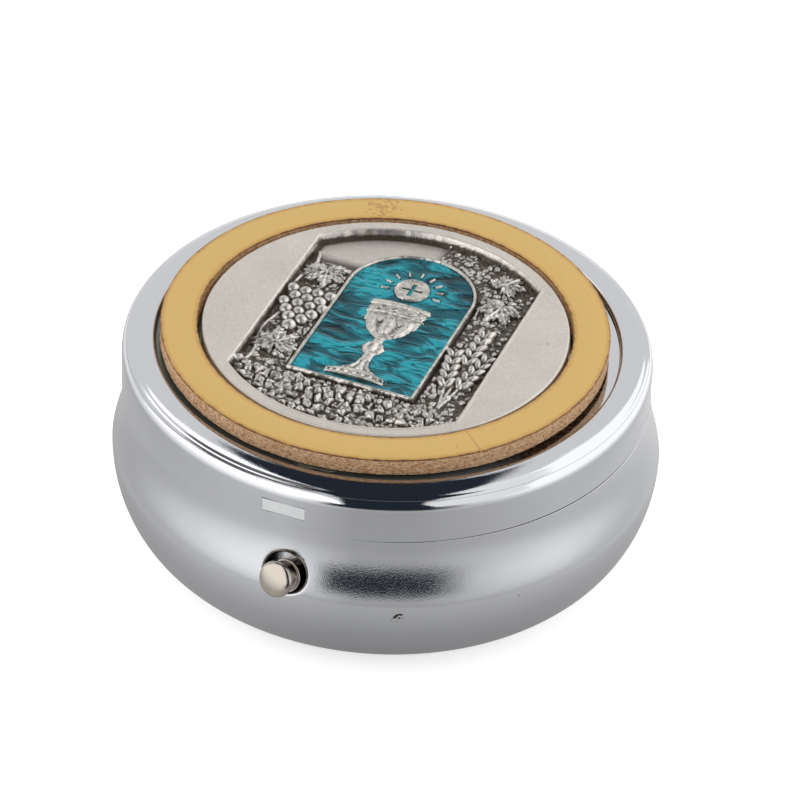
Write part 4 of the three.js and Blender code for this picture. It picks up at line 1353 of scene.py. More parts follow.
@dataclass
class Medallion:
    """Cast medallion with a sunk picture: a chalice in an enamelled arch, a vine and ears of wheat.

    A stalk, beard, stem, ray or rib is given as half its width and its height.
    """

    centre: Point = (-0.42, -0.27)
    radius: float = 16.55
    low: float = 19.87
    top: float = 21.679
    border_sink: float = 0.05
    edge: Point = (0.25, 0.16)
    depth: float = 1.0
    half_width: float = 10.87
    round_end: float = 15.4
    pitch: float = 0.075
    arch_half: float = 5.7
    arch_spring: float = 6.0
    arch_foot: float = -8.7
    ridge: float = 0.42
    ridge_height: float = 0.66
    cup_foot: float = -8.2
    cup_rim: float = 4.0
    cup_half: float = 3.0
    flutes: int = 9
    flute_depth: float = 0.11
    host_at: float = 6.5
    host_radius: float = 1.75
    host_height: float = 0.66
    cross: Point = (0.15, 0.95)
    cross_cut: float = 0.18
    rays: Point = (2.15, 2.95)
    ray: Point = (0.19, 0.6)
    wheat_foot: Point = (8.35, -8.9)
    ears: tuple[Point, ...] = ((-10, 3.9), (0.5, 7.6), (11, 4.2))
    grains: int = 5
    grain_pitch: float = 1.1
    grain: Spot = (0.43, 0.9, 0.72)
    grain_aside: float = 0.42
    grain_lean: float = 28.0
    stalk: Point = (0.2, 0.34)
    stalk_past: float = 5.2
    beard: Point = (0.09, 0.26)
    beard_length: float = 1.9
    vine_at: float = -10.1
    vine_ends: Point = (-9.6, 9.2)
    vine_stem: Point = (0.27, 0.4)
    vine_sway: float = 0.35
    grapes_at: Point = (-8.25, 2.6)
    grape_rows: tuple[int, ...] = (4, 3, 4, 3, 2, 1)
    grape_pitch: Point = (1.22, 1.057)
    grape: Point = (0.74, 0.85)
    leaves: tuple[tuple[Point, float, float], ...] = (
        ((-8.3, 6.4), 12, 2.5), ((-8.3, -5.9), 190, 2.55), ((8.3, 7.3), -20, 2.4),
        ((7.4, 10.9), 150, 2.1),
    )
    ground_half: float = 11.0
    ground_low: float = -15.6
    cobble: float = 0.95
    cobble_top: float = -9.3
    grit: float = 0.5
    grit_top: float = -8.2
    rubble: float = 0.66
    rubble_ends: Point = (-9.5, 15.5)
    enamel_low: float = 0.05
    enamel_top: float = 0.48
    leaf_edge: tuple[Point, ...] = (
        (0, 1.0), (14, 0.8), (27, 0.6), (48, 0.95), (64, 0.74), (78, 0.56), (104, 0.84), (130, 0.6),
        (155, 0.46), (172, 0.3), (180, 0.1),
    )
    leaf_veins: tuple[float, ...] = (0.0, 48.0, 104.0)
    leaf_height: float = 0.5
    leaf_fold: float = 0.2
    leaf_rib: Point = (0.1, 0.16)
    leaf_drop: float = 0.22
    cup_shape: tuple[Point, ...] = (
        (0.0, 1.02), (0.05, 1.04), (0.075, 0.92), (0.12, 0.52), (0.17, 0.3), (0.25, 0.2), (0.33, 0.19),
        (0.36, 0.34), (0.41, 0.46), (0.46, 0.34), (0.49, 0.19), (0.54, 0.19), (0.58, 0.42), (0.63, 0.7),
        (0.7, 0.88), (0.8, 0.96), (0.9, 0.97), (0.95, 0.99), (1.0, 1.03),
    )

    def build(self) -> None:
        """Build and dress the medallion and its enamel."""
        axis = np.arange(-self.radius - self.pitch, self.radius + 2 * self.pitch, self.pitch)
        self.x, self.y = np.meshgrid(axis, axis, indexing="ij")
        self.far = np.hypot(self.x, self.y)
        self.wall = np.minimum(self.half_width - np.abs(self.x), self.round_end - self.far)
        self.rng = np.random.default_rng(3)
        self.height = self.relief()
        self.cast()
        self.enamel()

    def blurred(self, values: Array, size: float) -> Array:
        """Blur a field over the grid.

        Args:
            values: The field.
            size: Radius of the blur in millimetres.

        Returns:
            The blurred field.
        """
        waves = np.fft.fftfreq(self.x.shape[0], self.pitch)
        kx, ky = np.meshgrid(waves, waves, indexing="ij")
        shape = np.exp(-2 * (math.pi * size) ** 2 * (kx**2 + ky**2))
        return np.real(np.fft.ifft2(np.fft.fft2(values) * shape))

    def noise(self, grain: float) -> Array:
        """Smooth noise of unit spread over the grid.

        Args:
            grain: Size of its lumps in millimetres.

        Returns:
            The noise.
        """
        soft = self.blurred(self.rng.normal(0, 1, self.x.shape), grain)
        return soft / soft.std()

    def dome(self, x: float, y: float, radii: Point, height: float, turn: float = 0.0) -> Array:
        """A rounded dome.

        Args:
            x: Its centre.
            y: Its centre.
            radii: Half axes.
            height: Its height.
            turn: Turn in degrees.

        Returns:
            Heights over the grid, zero outside.
        """
        a = math.radians(turn)
        u = (self.x - x) * math.cos(a) + (self.y - y) * math.sin(a)
        v = -(self.x - x) * math.sin(a) + (self.y - y) * math.cos(a)
        inside = 1 - (u / radii[0]) ** 2 - (v / radii[1]) ** 2
        return height * np.sqrt(np.clip(inside, 0, 1))

    @staticmethod
    def bar(away: Array, half: float, power: int = 2) -> Array:
        """Profile of a long bar.

        Args:
            away: Distance from its middle line over the grid.
            half: Half its width.
            power: How square it is.

        Returns:
            One along its middle, falling to zero at its sides.
        """
        return np.clip(1 - (away / half) ** power, 0, 1)

    def arch_distance(self) -> Array:
        """Signed distance from the arch's outline, below zero inside.

        Returns:
            The distance over the grid.
        """
        side = np.abs(self.x) - self.arch_half
        below = self.arch_foot - self.y
        round_top = np.hypot(self.x, np.maximum(self.y - self.arch_spring, 0)) - self.arch_half
        return np.maximum(np.where(self.y > self.arch_spring, round_top, side), below)

    def chalice(self) -> Array:
        """The chalice as half a turned cup, with a beaded foot, fluting on the stem, knop and bowl, and
        bands below the rim.

        Returns:
            Heights over the grid.
        """
        foot, rim, half = self.cup_foot, self.cup_rim, self.cup_half
        share = (self.y - foot) / (rim - foot)
        heights = [s for s, _ in self.cup_shape]
        widths = [w * half for _, w in self.cup_shape]
        width = np.maximum(np.interp(share, heights, widths, left=0, right=0), 1e-3)
        across = np.clip(self.x / width, -1, 1)
        body = np.where((share >= 0) & (share <= 1), np.sqrt(1 - across**2), 0)
        height = body * (0.36 + 0.14 * np.minimum(width / half, 1)) + 0.28 * (body > 0)
        turn = np.arcsin(across)
        flutes = self.flute_depth * np.cos(turn * self.flutes)
        ribbed = ((share > 0.36) & (share < 0.46)) | ((share > 0.1) & (share < 0.24))
        petals = (share > 0.6) & (share < 0.77 + 0.04 * np.cos(turn * self.flutes))
        bands = 0.08 * ((np.abs(share - 0.96) < 0.01) | (np.abs(share - 0.85) < 0.008))
        scroll = np.abs(share - 0.905 - 0.025 * np.sin(turn * 11)) < 0.008
        beads = (np.abs(share - 0.05) < 0.018) * 0.09 * np.sign(np.cos(turn * 24))
        return height + np.where(body > 0, (ribbed | petals) * flutes + bands + beads + 0.08 * scroll, 0)

    def host(self) -> Array:
        """The host over the chalice, with a raised edge, a cut cross and short rays.

        Returns:
            Heights over the grid.
        """
        dx, dy = np.abs(self.x), self.y - self.host_at
        far = np.hypot(dx, dy)
        disc = self.host_height * np.clip((self.host_radius - far) / 0.1, 0, 1)
        disc += 0.06 * (np.abs(far - self.host_radius + 0.25) < 0.12) * (disc > 0)
        half, reach = self.cross
        cross = (np.minimum(dx, np.abs(dy)) < half) & (np.maximum(dx, np.abs(dy)) < reach)
        out = np.where((disc > 0.5) & cross, disc - self.cross_cut, disc)
        for a in np.radians(np.linspace(-10, 190, 9)):
            u = self.x * math.cos(a) + dy * math.sin(a)
            v = -self.x * math.sin(a) + dy * math.cos(a)
            ray = (u > self.rays[0]) & (u < self.rays[1])
            out = np.maximum(out, np.where(ray, self.ray[1] * self.bar(v, self.ray[0], 4), 0))
        return out

    def leaf(self, centre: Point, turn: float, radius: float) -> Array:
        """A lobed vine leaf with a toothed edge and veins.

        Args:
            centre: Its centre.
            turn: Turn in degrees.
            radius: Its radius.

        Returns:
            Heights over the grid, zero outside.
        """
        dx, dy = self.x - centre[0], self.y - centre[1]
        far = np.hypot(dx, dy)
        angle = np.degrees(np.arctan2(dx, -dy)) - turn
        angle = np.abs((angle + 180) % 360 - 180)
        edge = np.interp(angle, [a for a, _ in self.leaf_edge], [r for _, r in self.leaf_edge])
        edge = radius * edge * (1 + 0.05 * np.sign(np.sin(np.radians(angle) * 22)))
        inside = far < edge
        nearest = np.min([np.abs(angle - a) for a in self.leaf_veins], axis=0)
        aside = far * np.sin(np.radians(np.minimum(nearest, 90)))
        fold = self.leaf_fold * np.clip(aside / 0.55, 0, 1) * np.clip(far / radius * 2, 0, 1)
        side_veins = 0.05 * np.cos((far - aside * 1.2) * 9) * np.clip(aside / 0.2, 0, 1)
        rib = self.leaf_rib[1] * np.exp(-((aside / self.leaf_rib[0]) ** 2))
        drop = self.leaf_drop * np.clip(far / np.maximum(edge, 0.1), 0, 1) ** 3
        return np.where(inside, self.leaf_height + fold + rib + side_veins - drop, 0)

    def wheat(self) -> Array:
        """Three ears of wheat on stalks, with fine beards.

        Returns:
            Heights over the grid.
        """
        out = np.zeros_like(self.x)
        foot_x, foot_y = self.wheat_foot
        for lean, start in self.ears:
            a = math.radians(lean)
            along = (math.sin(a), math.cos(a))
            u = (self.x - foot_x) * along[0] + (self.y - foot_y) * along[1]
            v = (self.x - foot_x) * along[1] - (self.y - foot_y) * along[0]
            stalk = (u > 0) & (u < start + self.stalk_past)
            stalk = np.where(stalk, self.bar(v, self.stalk[0]), 0)
            out = np.maximum(out, self.stalk[1] * np.sqrt(stalk))
            for k in range(self.grains):
                reach = start + self.grain_pitch * k
                for side in (-1, 1):
                    x = foot_x + along[0] * reach + side * self.grain_aside * along[1]
                    y = foot_y + along[1] * reach - side * self.grain_aside * along[0]
                    lying = -lean - side * self.grain_lean
                    out = np.maximum(out, self.dome(x, y, self.grain[:2], self.grain[2], lying))
                    beard_v = v - side * (0.4 + 0.35 * (u - reach))
                    beard = (u > reach) & (u < reach + self.beard_length)
                    hair = self.beard[1] * self.bar(beard_v, self.beard[0])
                    out = np.maximum(out, np.where(beard, hair, 0))
        return out

    def vine(self) -> Array:
        """Vine stem, leaves and a bunch of grapes.

        Returns:
            Heights over the grid.
        """
        low, high = self.vine_ends
        share = np.clip((self.y - low) / (high - low), 0, 1)
        middle = self.vine_at + self.vine_sway * np.sin(2 * math.pi * 2.5 * share)
        stem = self.bar(self.x - middle, self.vine_stem[0])
        out = np.where((self.y > low) & (self.y < high), self.vine_stem[1] * np.sqrt(stem), 0)
        across, down = self.grape_pitch
        for row, count in enumerate(self.grape_rows):
            for i in range(count):
                aside = (i - (count - 1) / 2) * across
                x = self.grapes_at[0] + aside + self.rng.uniform(-0.08, 0.08)
                y = self.grapes_at[1] - row * down + self.rng.uniform(-0.06, 0.06)
                size = self.grape[0] + self.rng.uniform(-0.05, 0.05)
                out = np.maximum(out, self.dome(x, y, (size, size), self.grape[1]))
        for leaf in self.leaves:
            out = np.maximum(out, self.leaf(*leaf))
        return out

    def cobbles(self, cell: float, bottom: float, top: float) -> tuple[Array, Array]:
        """Irregular cobbles, each with its own height.

        Args:
            cell: Their mean spacing.
            bottom: Lower edge of the ground that they fill.
            top: Its upper edge.

        Returns:
            A rounded shape from zero in the joints to one, and each place's random height.
        """
        columns = max(2, round(2 * self.ground_half / cell))
        rows = max(2, round((top - bottom) / cell))
        spots = []
        for i in range(columns):
            for j in range(rows):
                shift = self.rng.uniform(-0.38, 0.38, 2) + ((j % 2) * 0.5, 0)
                across, along = i + 0.5 + shift[0], j + 0.5 + shift[1]
                spots.append((across * cell - self.ground_half, bottom + along * cell))
        nearest = np.full(self.x.shape, FAR)
        second = nearest.copy()
        level = np.zeros_like(nearest)
        for x, y in spots:
            away = np.hypot(self.x - x, (self.y - y) * 1.15)
            closer = away < nearest
            second = np.where(closer, nearest, np.minimum(second, away))
            level = np.where(closer, self.rng.uniform(0, 1), level)
            nearest = np.where(closer, away, nearest)
        joint = np.clip((second - nearest) / (0.55 * cell), 0, 1)
        return np.sqrt(1 - (1 - joint) ** 2), level

    def stones(self) -> Array:
        """Cobbled ground along the picture's foot, with grit between the stones.

        Returns:
            Heights over the grid.
        """
        shape, level = self.cobbles(self.cobble, self.ground_low, self.cobble_top)
        reach = np.clip((-9.2 - self.y + 0.5 * np.sin(self.x * 1.1)) / 0.5, 0, 1)
        chipped = 0.1 * self.noise(0.14) + 0.08 * self.noise(0.3)
        out = shape * (0.28 + 0.5 * level + chipped) * reach
        grit, height = self.cobbles(self.grit, self.ground_low, self.grit_top)
        band = np.clip((-8.7 - self.y) / 0.4, 0, 1)
        return np.maximum(out, grit * (0.12 + 0.3 * height) * band)

    def relief(self) -> Array:
        """Carve the picture.

        Returns:
            Heights above the sunk ground over the grid.
        """
        arch = self.arch_distance()
        inside = arch < 0
        middle = self.ridge / 2
        ridge = self.ridge_height * np.sqrt(self.bar(arch - middle, middle, 4))
        rocky = np.clip((8.6 - self.y) / 1.2, 0, 1)
        rocky = np.maximum(rocky, np.clip((self.x - 0.2 + 0.5 * self.noise(0.5)) / 0.4, 0, 1))
        panel = np.clip((arch - self.ridge) / 0.3, 0, 1) * rocky
        shape, level = self.cobbles(self.rubble, *self.rubble_ends)
        rough = 0.05 * self.noise(0.14)
        ground = (0.05 + shape * (0.06 + 0.26 * level + rough)) * panel + 0.008 * self.noise(0.08)
        figures = [ground, self.vine(), self.wheat(), self.stones()]
        outside = np.maximum.reduce([np.where(inside, 0, f) for f in figures])
        within = np.maximum(np.where(inside, self.chalice(), 0), self.host())
        picture = np.maximum.reduce([outside, ridge, within])
        picture = picture + np.where(picture > 0.15, 0.011 * self.noise(0.1), 0)
        picture = np.minimum(picture, self.depth - 0.06)
        strokes = 0.008 * np.sin(np.arctan2(self.y, self.x) * 400) * self.noise(0.6)
        strokes = np.clip(strokes, -0.02, 0.02) + 0.01 * self.noise(0.2)
        steep = np.clip(1 - (self.wall - 0.02 + strokes) / 0.3, 0, 1)
        border = self.depth - self.border_sink + 0.004 * self.noise(0.25)
        height = np.maximum(picture * (self.wall > 0), border * steep**0.6)
        lip = np.exp(-(((self.wall + 0.1) / 0.09) ** 2))
        height = np.minimum(height + (self.border_sink + 0.01) * lip * (self.wall < 0.05), self.depth)
        edge = np.clip((self.far - (self.radius - self.edge[0])) / self.edge[0], 0, 1)
        return height - self.edge[1] * (1 - np.sqrt(self.bar(edge, 1.0)))

    @staticmethod
    def cell_faces(cells: Array) -> tuple[Array, list[Face]]:
        """Faces of a set of cells, on the grid points that they touch.

        Args:
            cells: The cells as a mask.

        Returns:
            The points as a mask, and the faces, which count those points alone.
        """
        rows, columns = cells.shape
        used = np.zeros((rows + 1, columns + 1), bool)
        for i in (0, 1):
            for j in (0, 1):
                used[i : i + rows, j : j + columns] |= cells
        number = np.cumsum(used).reshape(used.shape) - 1
        i, j = np.nonzero(cells)
        corners = (number[i, j], number[i + 1, j], number[i + 1, j + 1], number[i, j + 1])
        return used, [tuple(f) for f in np.column_stack(corners).tolist()]

    def cast(self) -> None:
        """Make the medallion's mesh."""
        live = self.far < self.radius - TINY
        cells = live[:-1, :-1] | live[1:, :-1] | live[:-1, 1:] | live[1:, 1:]
        used, faces = self.cell_faces(cells)
        scale = np.where(self.far > self.radius, self.radius / np.maximum(self.far, TINY), 1.0)
        level = self.top - self.depth + self.height
        spots = np.column_stack([(self.x * scale)[used], (self.y * scale)[used], level[used]])
        edges = {(f[k], f[(k + 1) % 4]) for f in faces for k in range(4)}
        rim = {a: b for a, b in edges if (b, a) not in edges}
        loop = [next(iter(rim))]
        while rim[loop[-1]] != loop[0]:
            loop.append(rim[loop[-1]])
        count, around = len(spots), len(loop)
        under = [(spots[v][0], spots[v][1], self.low) for v in loop]
        after = [*range(1, around), 0]
        walls = [(loop[n], loop[k], count + k, count + n) for k, n in enumerate(after)]
        base = tuple(reversed(range(count, count + around)))
        sketch = Sketch(np.vstack([spots, np.array(under)]), [*faces, *walls, base])
        dirt, border = self.tones()
        sketch.values = {
            "patina": np.concatenate([dirt[used], np.zeros(around)]),
            "border": np.concatenate([border[used], np.ones(around)]),
        }
        sketch.moved(Matrix.Translation((*self.centre, 0)))
        sketch.piece("cast_medallion", Body.LID, SILVER, "medallion")

    def tones(self) -> tuple[Array, Array]:
        """Work out where the patina stayed and where the plain cast skin is.

        Returns:
            Patina and plain skin over the grid, from 0 to 1.
        """
        height = self.height
        near = self.blurred(height, 0.22) - height
        wide = self.blurred(height, 0.7) - height
        low = np.clip((0.3 - height) / 0.25, 0, 1) * (height > -0.5)
        dirt = np.clip(4.2 * near + 1.9 * wide + 0.55 * low + 0.08, 0, 1)
        border = np.clip((0.06 - self.wall) / 0.05, 0, 1)
        arch = self.arch_distance()
        plain = np.clip((self.y - 8.4) / 1.2, 0, 1) * np.clip((arch - self.ridge - 0.35) / 0.3, 0, 1)
        plain *= np.clip((0.6 - self.x) / 0.8, 0, 1)
        plain *= np.clip((self.wall - 0.55) / 0.3, 0, 1) * (height < 0.3)
        return dirt * (1 - border) * (1 - 0.9 * plain), np.maximum(border, 0.85 * plain)

    def enamel(self) -> None:
        """Pour the enamel round the figures in the arch."""
        wet = (self.arch_distance() < self.pitch) & (self.height < self.enamel_top + 0.04)
        cells = wet[:-1, :-1] & wet[1:, :-1] & wet[:-1, 1:] & wet[1:, 1:]
        used, faces = self.cell_faces(cells)
        ground = self.top - self.depth
        dry = 1 - self.blurred((self.height < self.enamel_top).astype(float), 0.5)
        top = ground + self.enamel_top + 0.05 * np.clip(dry, 0, 1)
        spots = np.column_stack([self.x[used], self.y[used], top[used]])
        below = np.column_stack([spots[:, :2], np.full(len(spots), ground + self.enamel_low)])
        sketch = TurnedSheet.thickened(spots, below, faces)
        sketch.moved(Matrix.Translation((*self.centre, 0)))
        sketch.piece("poured_enamel", Body.LID, ENAMEL, "enamel")


@dataclass
class PressLatch:
    """The latch: the domed button with its stem and washer. The spring strip keeps its CAD solid."""

    place: Point = (0.06, 10.78)
    tilt: float = 20.0
    lean: float = 13.0
    barrel: float = 1.38
    rim: float = 1.5
    rim_front: float = -0.06
    rim_back: float = -0.36
    head_back: float = 1.17
    head: float = 1.62
    head_edge: float = 0.32
    dome: float = 0.482
    stem: float = 0.6
    barrel_back: float = -2.15
    washer_near: float = -3.22
    washer_far: float = -3.52
    washer: float = 1.25

    def frame(self) -> Matrix:
        """The button's frame: its origin is on the shell's face, and +Z points out along the button.

        Returns:
            The move from that frame to the object's.
        """
        tilt, lean = math.radians(self.tilt), math.radians(self.lean)
        out = Vector(
            (-math.sin(lean) * math.cos(tilt), -math.cos(lean) * math.cos(tilt), math.sin(tilt))
        )
        turn = Vector((0, 0, 1)).rotation_difference(out)
        slip, height = self.place
        spot = Vector((slip, -SIZES.belly_radius(height), height))
        return Matrix.Translation(spot) @ turn.to_matrix().to_4x4()

    def build(self) -> None:
        """Build and dress the latch's pieces."""
        self.button()
        self.stem_washer()

    def button(self) -> None:
        """Turned button: domed head, barrel with a rim in the hole, stem with its end set."""
        head_front = self.head_back + self.head_edge
        stem_head = self.washer_far - 0.04
        corners = [
            (0.0, stem_head - 0.2, 0), (0.7, stem_head - 0.2, 0.12), (0.95, stem_head, 0.04),
            (self.stem, stem_head, 0), (self.stem, self.barrel_back, 0),
            (self.barrel, self.barrel_back, 0.15), (self.barrel, self.rim_back, 0.04),
            (self.rim, self.rim_back, 0.08), (self.rim, self.rim_front, 0.1),
            (self.barrel - 0.02, self.rim_front, 0.04), (self.barrel - 0.02, self.head_back, 0.04),
            (self.head, self.head_back, 0.1), (self.head, head_front, 0),
        ]
        line = filleted(corners, steps=5)[:-1]
        crown = arc((0, head_front), (self.head, self.dome), 0, 90, 14)
        sketch = turned([*line, *crown[:-1], (0.0, head_front + self.dome)], 72).moved(self.frame())
        sketch.piece("button_head_and_stem", Body.LATCH, BUTTON, "push_button")

    def stem_washer(self) -> None:
        """Steel washer under the stem's set end."""
        near, far, edge = self.washer_near, self.washer_far, self.washer
        bore = self.stem + 0.15
        corners = [(bore, far, 0.05), (edge, far, 0.06), (edge, near, 0.06), (bore, near, 0.05)]
        line = filleted(corners, steps=3, closed=True)
        sketch = turned(line, 48, closed=True).moved(self.frame())
        sketch.piece("stem_washer", Body.LATCH, STEEL, "button_washer")


@dataclass
class Hinge:
    """The lid's torsion spring and pin. The two leaves keep their CAD solids."""

    wire: float = 0.175
    coil: float = 0.9
    pitch: float = 0.85
    turns: float = 3.5
    bend: float = 0.7
    leg_down: float = 1.6
    leg_up: float = 1.5
    low_y: float = 22.775
    high_y: float = 22.885
    pin_end: float = 6.35
    pin_radius: float = 0.5
    pin_head: float = 0.75

    def build(self) -> None:
        """Build and dress the spring and the pin."""
        self.spring()
        self.pin()

    def spring(self) -> None:
        """Wound wire with a leg on each leaf."""
        s = SIZES
        start = -self.turns * self.pitch / 2
        low, high = s.pin_height - self.coil, s.pin_height + self.coil
        down = np.linspace(low - self.leg_down, low - self.bend, 6)
        path = [Vector((start, self.low_y, z)) for z in down]
        for out, drop in ((0.06, 0.45), (0.25, 0.16), (0.7, 0.02)):
            path.append(Vector((start, self.low_y + out, low - drop)))
        for i in range(round(self.turns * 28) + 1):
            turn = i / 28
            angle = -math.pi / 2 + 2 * math.pi * turn
            y = s.pin_y + self.coil * math.cos(angle)
            z = s.pin_height + self.coil * math.sin(angle)
            path.append(Vector((start + turn * self.pitch, y, z)))
        for out, rise in ((0.6, 0.02), (0.2, 0.18), (0.04, 0.46)):
            path.append(Vector((-start, self.high_y + out, high + rise)))
        rising = np.linspace(high + self.bend, high + self.leg_up, 5)
        path += [Vector((-start, self.high_y, z)) for z in rising]
        tube(path, self.wire, 14).piece("torsion_spring", Body.BASE, STEEL, "lid_spring")

    def pin(self) -> None:
        """Hinge pin with domed ends."""
        end, head = self.pin_end, self.pin_head
        cap = [(0.35, end + 0.27), (0.6, end + 0.17), (head, end)]
        line = [(0.0, -end - 0.3), *[(r, -z) for r, z in cap], (self.pin_radius, -end)]
        line += [(self.pin_radius, end), *reversed(cap), (0.0, end + 0.3)]
        place = Matrix.Translation((0, SIZES.pin_y, SIZES.pin_height))
        sketch = turned(line, 40).moved(place @ Matrix.Rotation(math.pi / 2, 4, "Y"))
        sketch.piece("hinge_pin_set", Body.BASE, STEEL, "hinge_pin")


# Studio


@dataclass
class Studio:
    """Floor, lights, camera and the cards that the chrome reflects."""

    target: Spot = (1.031, 0.365, 13.299)
    distance: float = 417.435
    azimuth: float = 19.5
    elevation: float = 36.383
    roll: float = 2.944
    lens: float = 206.64
    white: Colour = (1, 1, 1, 1)
    world_light: float = 0.42
    paper: str = "F4F4F4"
    floor_size: float = 3.0
    floor_low: float = -0.00002
    floor_glow: float = 0.6
    lamp_reach: float = 0.6
    lamps_at: tuple[tuple[str, float, float, Point, float], ...] = (
        ("softbox_above", 180, 72, (0.5, 0.42), 1.7), ("panel_left", -85, 28, (0.62, 0.44), 1.3),
        ("panel_right", 85, 28, (0.62, 0.44), 1.3),
    )
    navy: str = "2B323D"
    cloth_reach: float = 0.47
    cloth: tuple[Spot, ...] = (
        (0, -0.24, 0.4), (24, -0.25, 0.28), (60, -0.22, 0.26), (90, -0.18, 0.22), (130, -0.17, 0.13),
    )
    panels: tuple[Panel, ...] = (
        ("left_panel", 0.5, 1.9, (
            (-6, -115, -14), (14, -101, -15), (26, -89, -18), (40, -79, -23), (61, -66, -45),
        )),
        ("right_panel", 0.5, 1.7, (
            (-6, 60, 133), (20, 58, 144), (40, 72, 152), (50, 84, 160), (60, 120, 150),
        )),
        ("back_panel", 0.49, 2.0, (
            (42, -150, -136), (55, -165, -136), (66, -168, -146), (76, -168, -152),
        )),
        ("right_bounce", 0.52, 1.25, (
            (-6, 18, 62), (30, 20, 64), (50, 35, 90), (60, 42, 165), (76, 50, 165),
        )),
        ("left_flag", 0.52, 0.18, (
            (47, -108, -72), (56, -134, -70), (66, -134, -55), (78, -130, -40),
        )),
    )
    card_rows: int = 40
    card_columns: int = 24
    # Brightness of the floor's painted reflection by radius: painted shade near the object, a painted
    # pool of light further out.
    sheen: tuple[Point, ...] = (
        (22, 0.36), (24, 0.44), (27, 0.52), (30, 0.61), (34, 0.72), (38, 0.78), (43, 0.74), (50, 0.8),
        (56, 0.98), (64, 1.12), (72, 1.22), (84, 1.35), (110, 1.6),
    )
    sheen_reach: float = 1000.0
    sheen_sides: int = 96
    shade_lane: tuple[Point, Point] = ((-32, -8), (62, 12))
    shade_ends: Point = (30.0, 84.0)
    shade_levels: Point = (0.15, 0.72)
    cloth_lane: tuple[Point, Point] = ((-22, -16), (32, 18))
    cloth_ends: Point = (77.0, 87.0)
    left_dims: Point = (-110, -50)
    left_levels: Point = (0.78, 1.03)

    def build(self) -> None:
        """Set up everything that isn't part of the object."""
        self.world()
        self.floor()
        self.lamps()
        self.cards()
        self.sheen_card()
        self.camera()

    @staticmethod
    def shader(name: str) -> tuple[Material, Adder]:
        """Make an empty material for the stage.

        Args:
            name: Its name.

        Returns:
            The material, and what adds a node to its tree.
        """
        made = bpy.data.materials.new(name)
        made.use_nodes = True
        made.node_tree.nodes.clear()
        return made, partial(add_node, made.node_tree)

    @staticmethod
    def placed(
        name: str, corners: Sequence[Sequence[float]], faces: Sequence[Face], look: Material
    ) -> Object:
        """Make a piece of the stage.

        Args:
            name: Its name.
            corners: Its corners in metres.
            faces: Its faces.
            look: Its material.

        Returns:
            The object.
        """
        mesh = bpy.data.meshes.new(name)
        mesh.from_pydata([tuple(c) for c in corners], [], faces)
        mesh.materials.append(look)
        made = bpy.data.objects.new(name, mesh)
        bpy.context.scene.collection.objects.link(made)
        return made

    @staticmethod
    def picture_rays(node: Adder) -> Node:
        """Find the rays that see the stage as a picture: the camera's, mirrored and clear ones.

        Args:
            node: Adds a node.

        Returns:
            A node that is one for those rays.
        """
        rays = node("LightPath").outputs
        found = rays["Is Glossy Ray"]
        for name in ("Is Transmission Ray", "Is Camera Ray"):
            found = node("Math", MAXIMUM, found, rays[name])
        return found

    def world(self) -> None:
        """White surroundings, softer for the light that they throw."""
        world = bpy.data.worlds.new("studio_world")
        bpy.context.scene.world = world
        world.use_nodes = True
        world.node_tree.nodes.clear()
        node = partial(add_node, world.node_tree)
        seen = self.picture_rays(node)
        strength = node("MapRange", Value=seen, To_Min=self.world_light, To_Max=1.0)
        node("OutputWorld", Surface=node("Background", Color=self.white, Strength=strength))

    def floor(self) -> None:
        """Plain white floor that keeps the object's shadow."""
        paper, node = self.shader("floor_paper")
        glow = node("MapRange", Value=self.picture_rays(node), To_Max=self.floor_glow)
        diffuse = node("BsdfDiffuse", Color=linear(self.paper))
        lit = node("Emission", Color=self.white, Strength=glow)
        node("OutputMaterial", Surface=node("AddShader", None, diffuse, lit))
        size = self.floor_size
        spots = ((-size, -size), (size, -size), (size, size), (-size, size))
        corners = [(x, y, self.floor_low) for x, y in spots]
        self.placed("studio_floor", corners, [(0, 1, 2, 3)], paper)

    def direction(self, azimuth: float, elevation: float) -> Vector:
        """Unit vector from the object, with the azimuth counted from the camera's side in degrees."""
        a, e = math.radians(self.azimuth + azimuth), math.radians(elevation)
        return Vector((math.sin(a) * math.cos(e), -math.cos(a) * math.cos(e), math.sin(e)))

    def lamps(self) -> None:
        """Overhead softbox and two side panels."""
        for name, azimuth, elevation, size, radiance in self.lamps_at:
            data = bpy.data.lights.new(name, "AREA")
            data.shape = "RECTANGLE"
            data.size, data.size_y = size
            data.energy = radiance * math.pi * size[0] * size[1]
            made = bpy.data.objects.new(name, data)
            bpy.context.scene.collection.objects.link(made)
            back = self.direction(azimuth, elevation)
            made.location = back * self.lamp_reach
            made.rotation_euler = back.to_track_quat("Z", "Y").to_euler()
            made.visible_glossy = False

    @staticmethod
    def only_mirrored(made: Object) -> None:
        """Keep a card out of everything but reflections.

        Args:
            made: The card.
        """
        made.visible_camera = False
        made.visible_diffuse = False
        made.visible_shadow = False
        made.visible_transmission = False

    def card(
        self, name: str, rows: Sequence[Spot], spot: Callable[[float, float], Vector], look: Material
    ) -> None:
        """Make a card that only reflections see.

        Args:
            name: Its name.
            rows: Heights with the left and right ends there.
            spot: Turns a height and a place across to a place in the studio.
            look: Its material.
        """
        levels = [level for level, _, _ in rows]
        wide = self.card_columns + 1
        corners = []
        for level in np.linspace(levels[0], levels[-1], self.card_rows + 1):
            left, right = (np.interp(level, levels, [row[k] for row in rows]) for k in (1, 2))
            corners += [spot(level, x) for x in np.linspace(left, right, wide)]
        faces = net(self.card_rows + 1, wide, tube=False)
        self.only_mirrored(self.placed(name, corners, faces, look))

    def glowing(self, name: str, colour: str, strength: float) -> Material:
        """Make a plain glowing material for the stage.

        Args:
            name: Its name.
            colour: Its colour as six hex digits.
            strength: How bright it is.

        Returns:
            The material.
        """
        look, node = self.shader(name)
        node("OutputMaterial", Surface=node("Emission", Color=linear(colour), Strength=strength))
        return look

    def cards(self) -> None:
        """Softboxes as the metal shows them, and dark cloth from the floor over the camera to behind."""
        turn = Matrix.Rotation(math.radians(self.azimuth), 3, "Z")

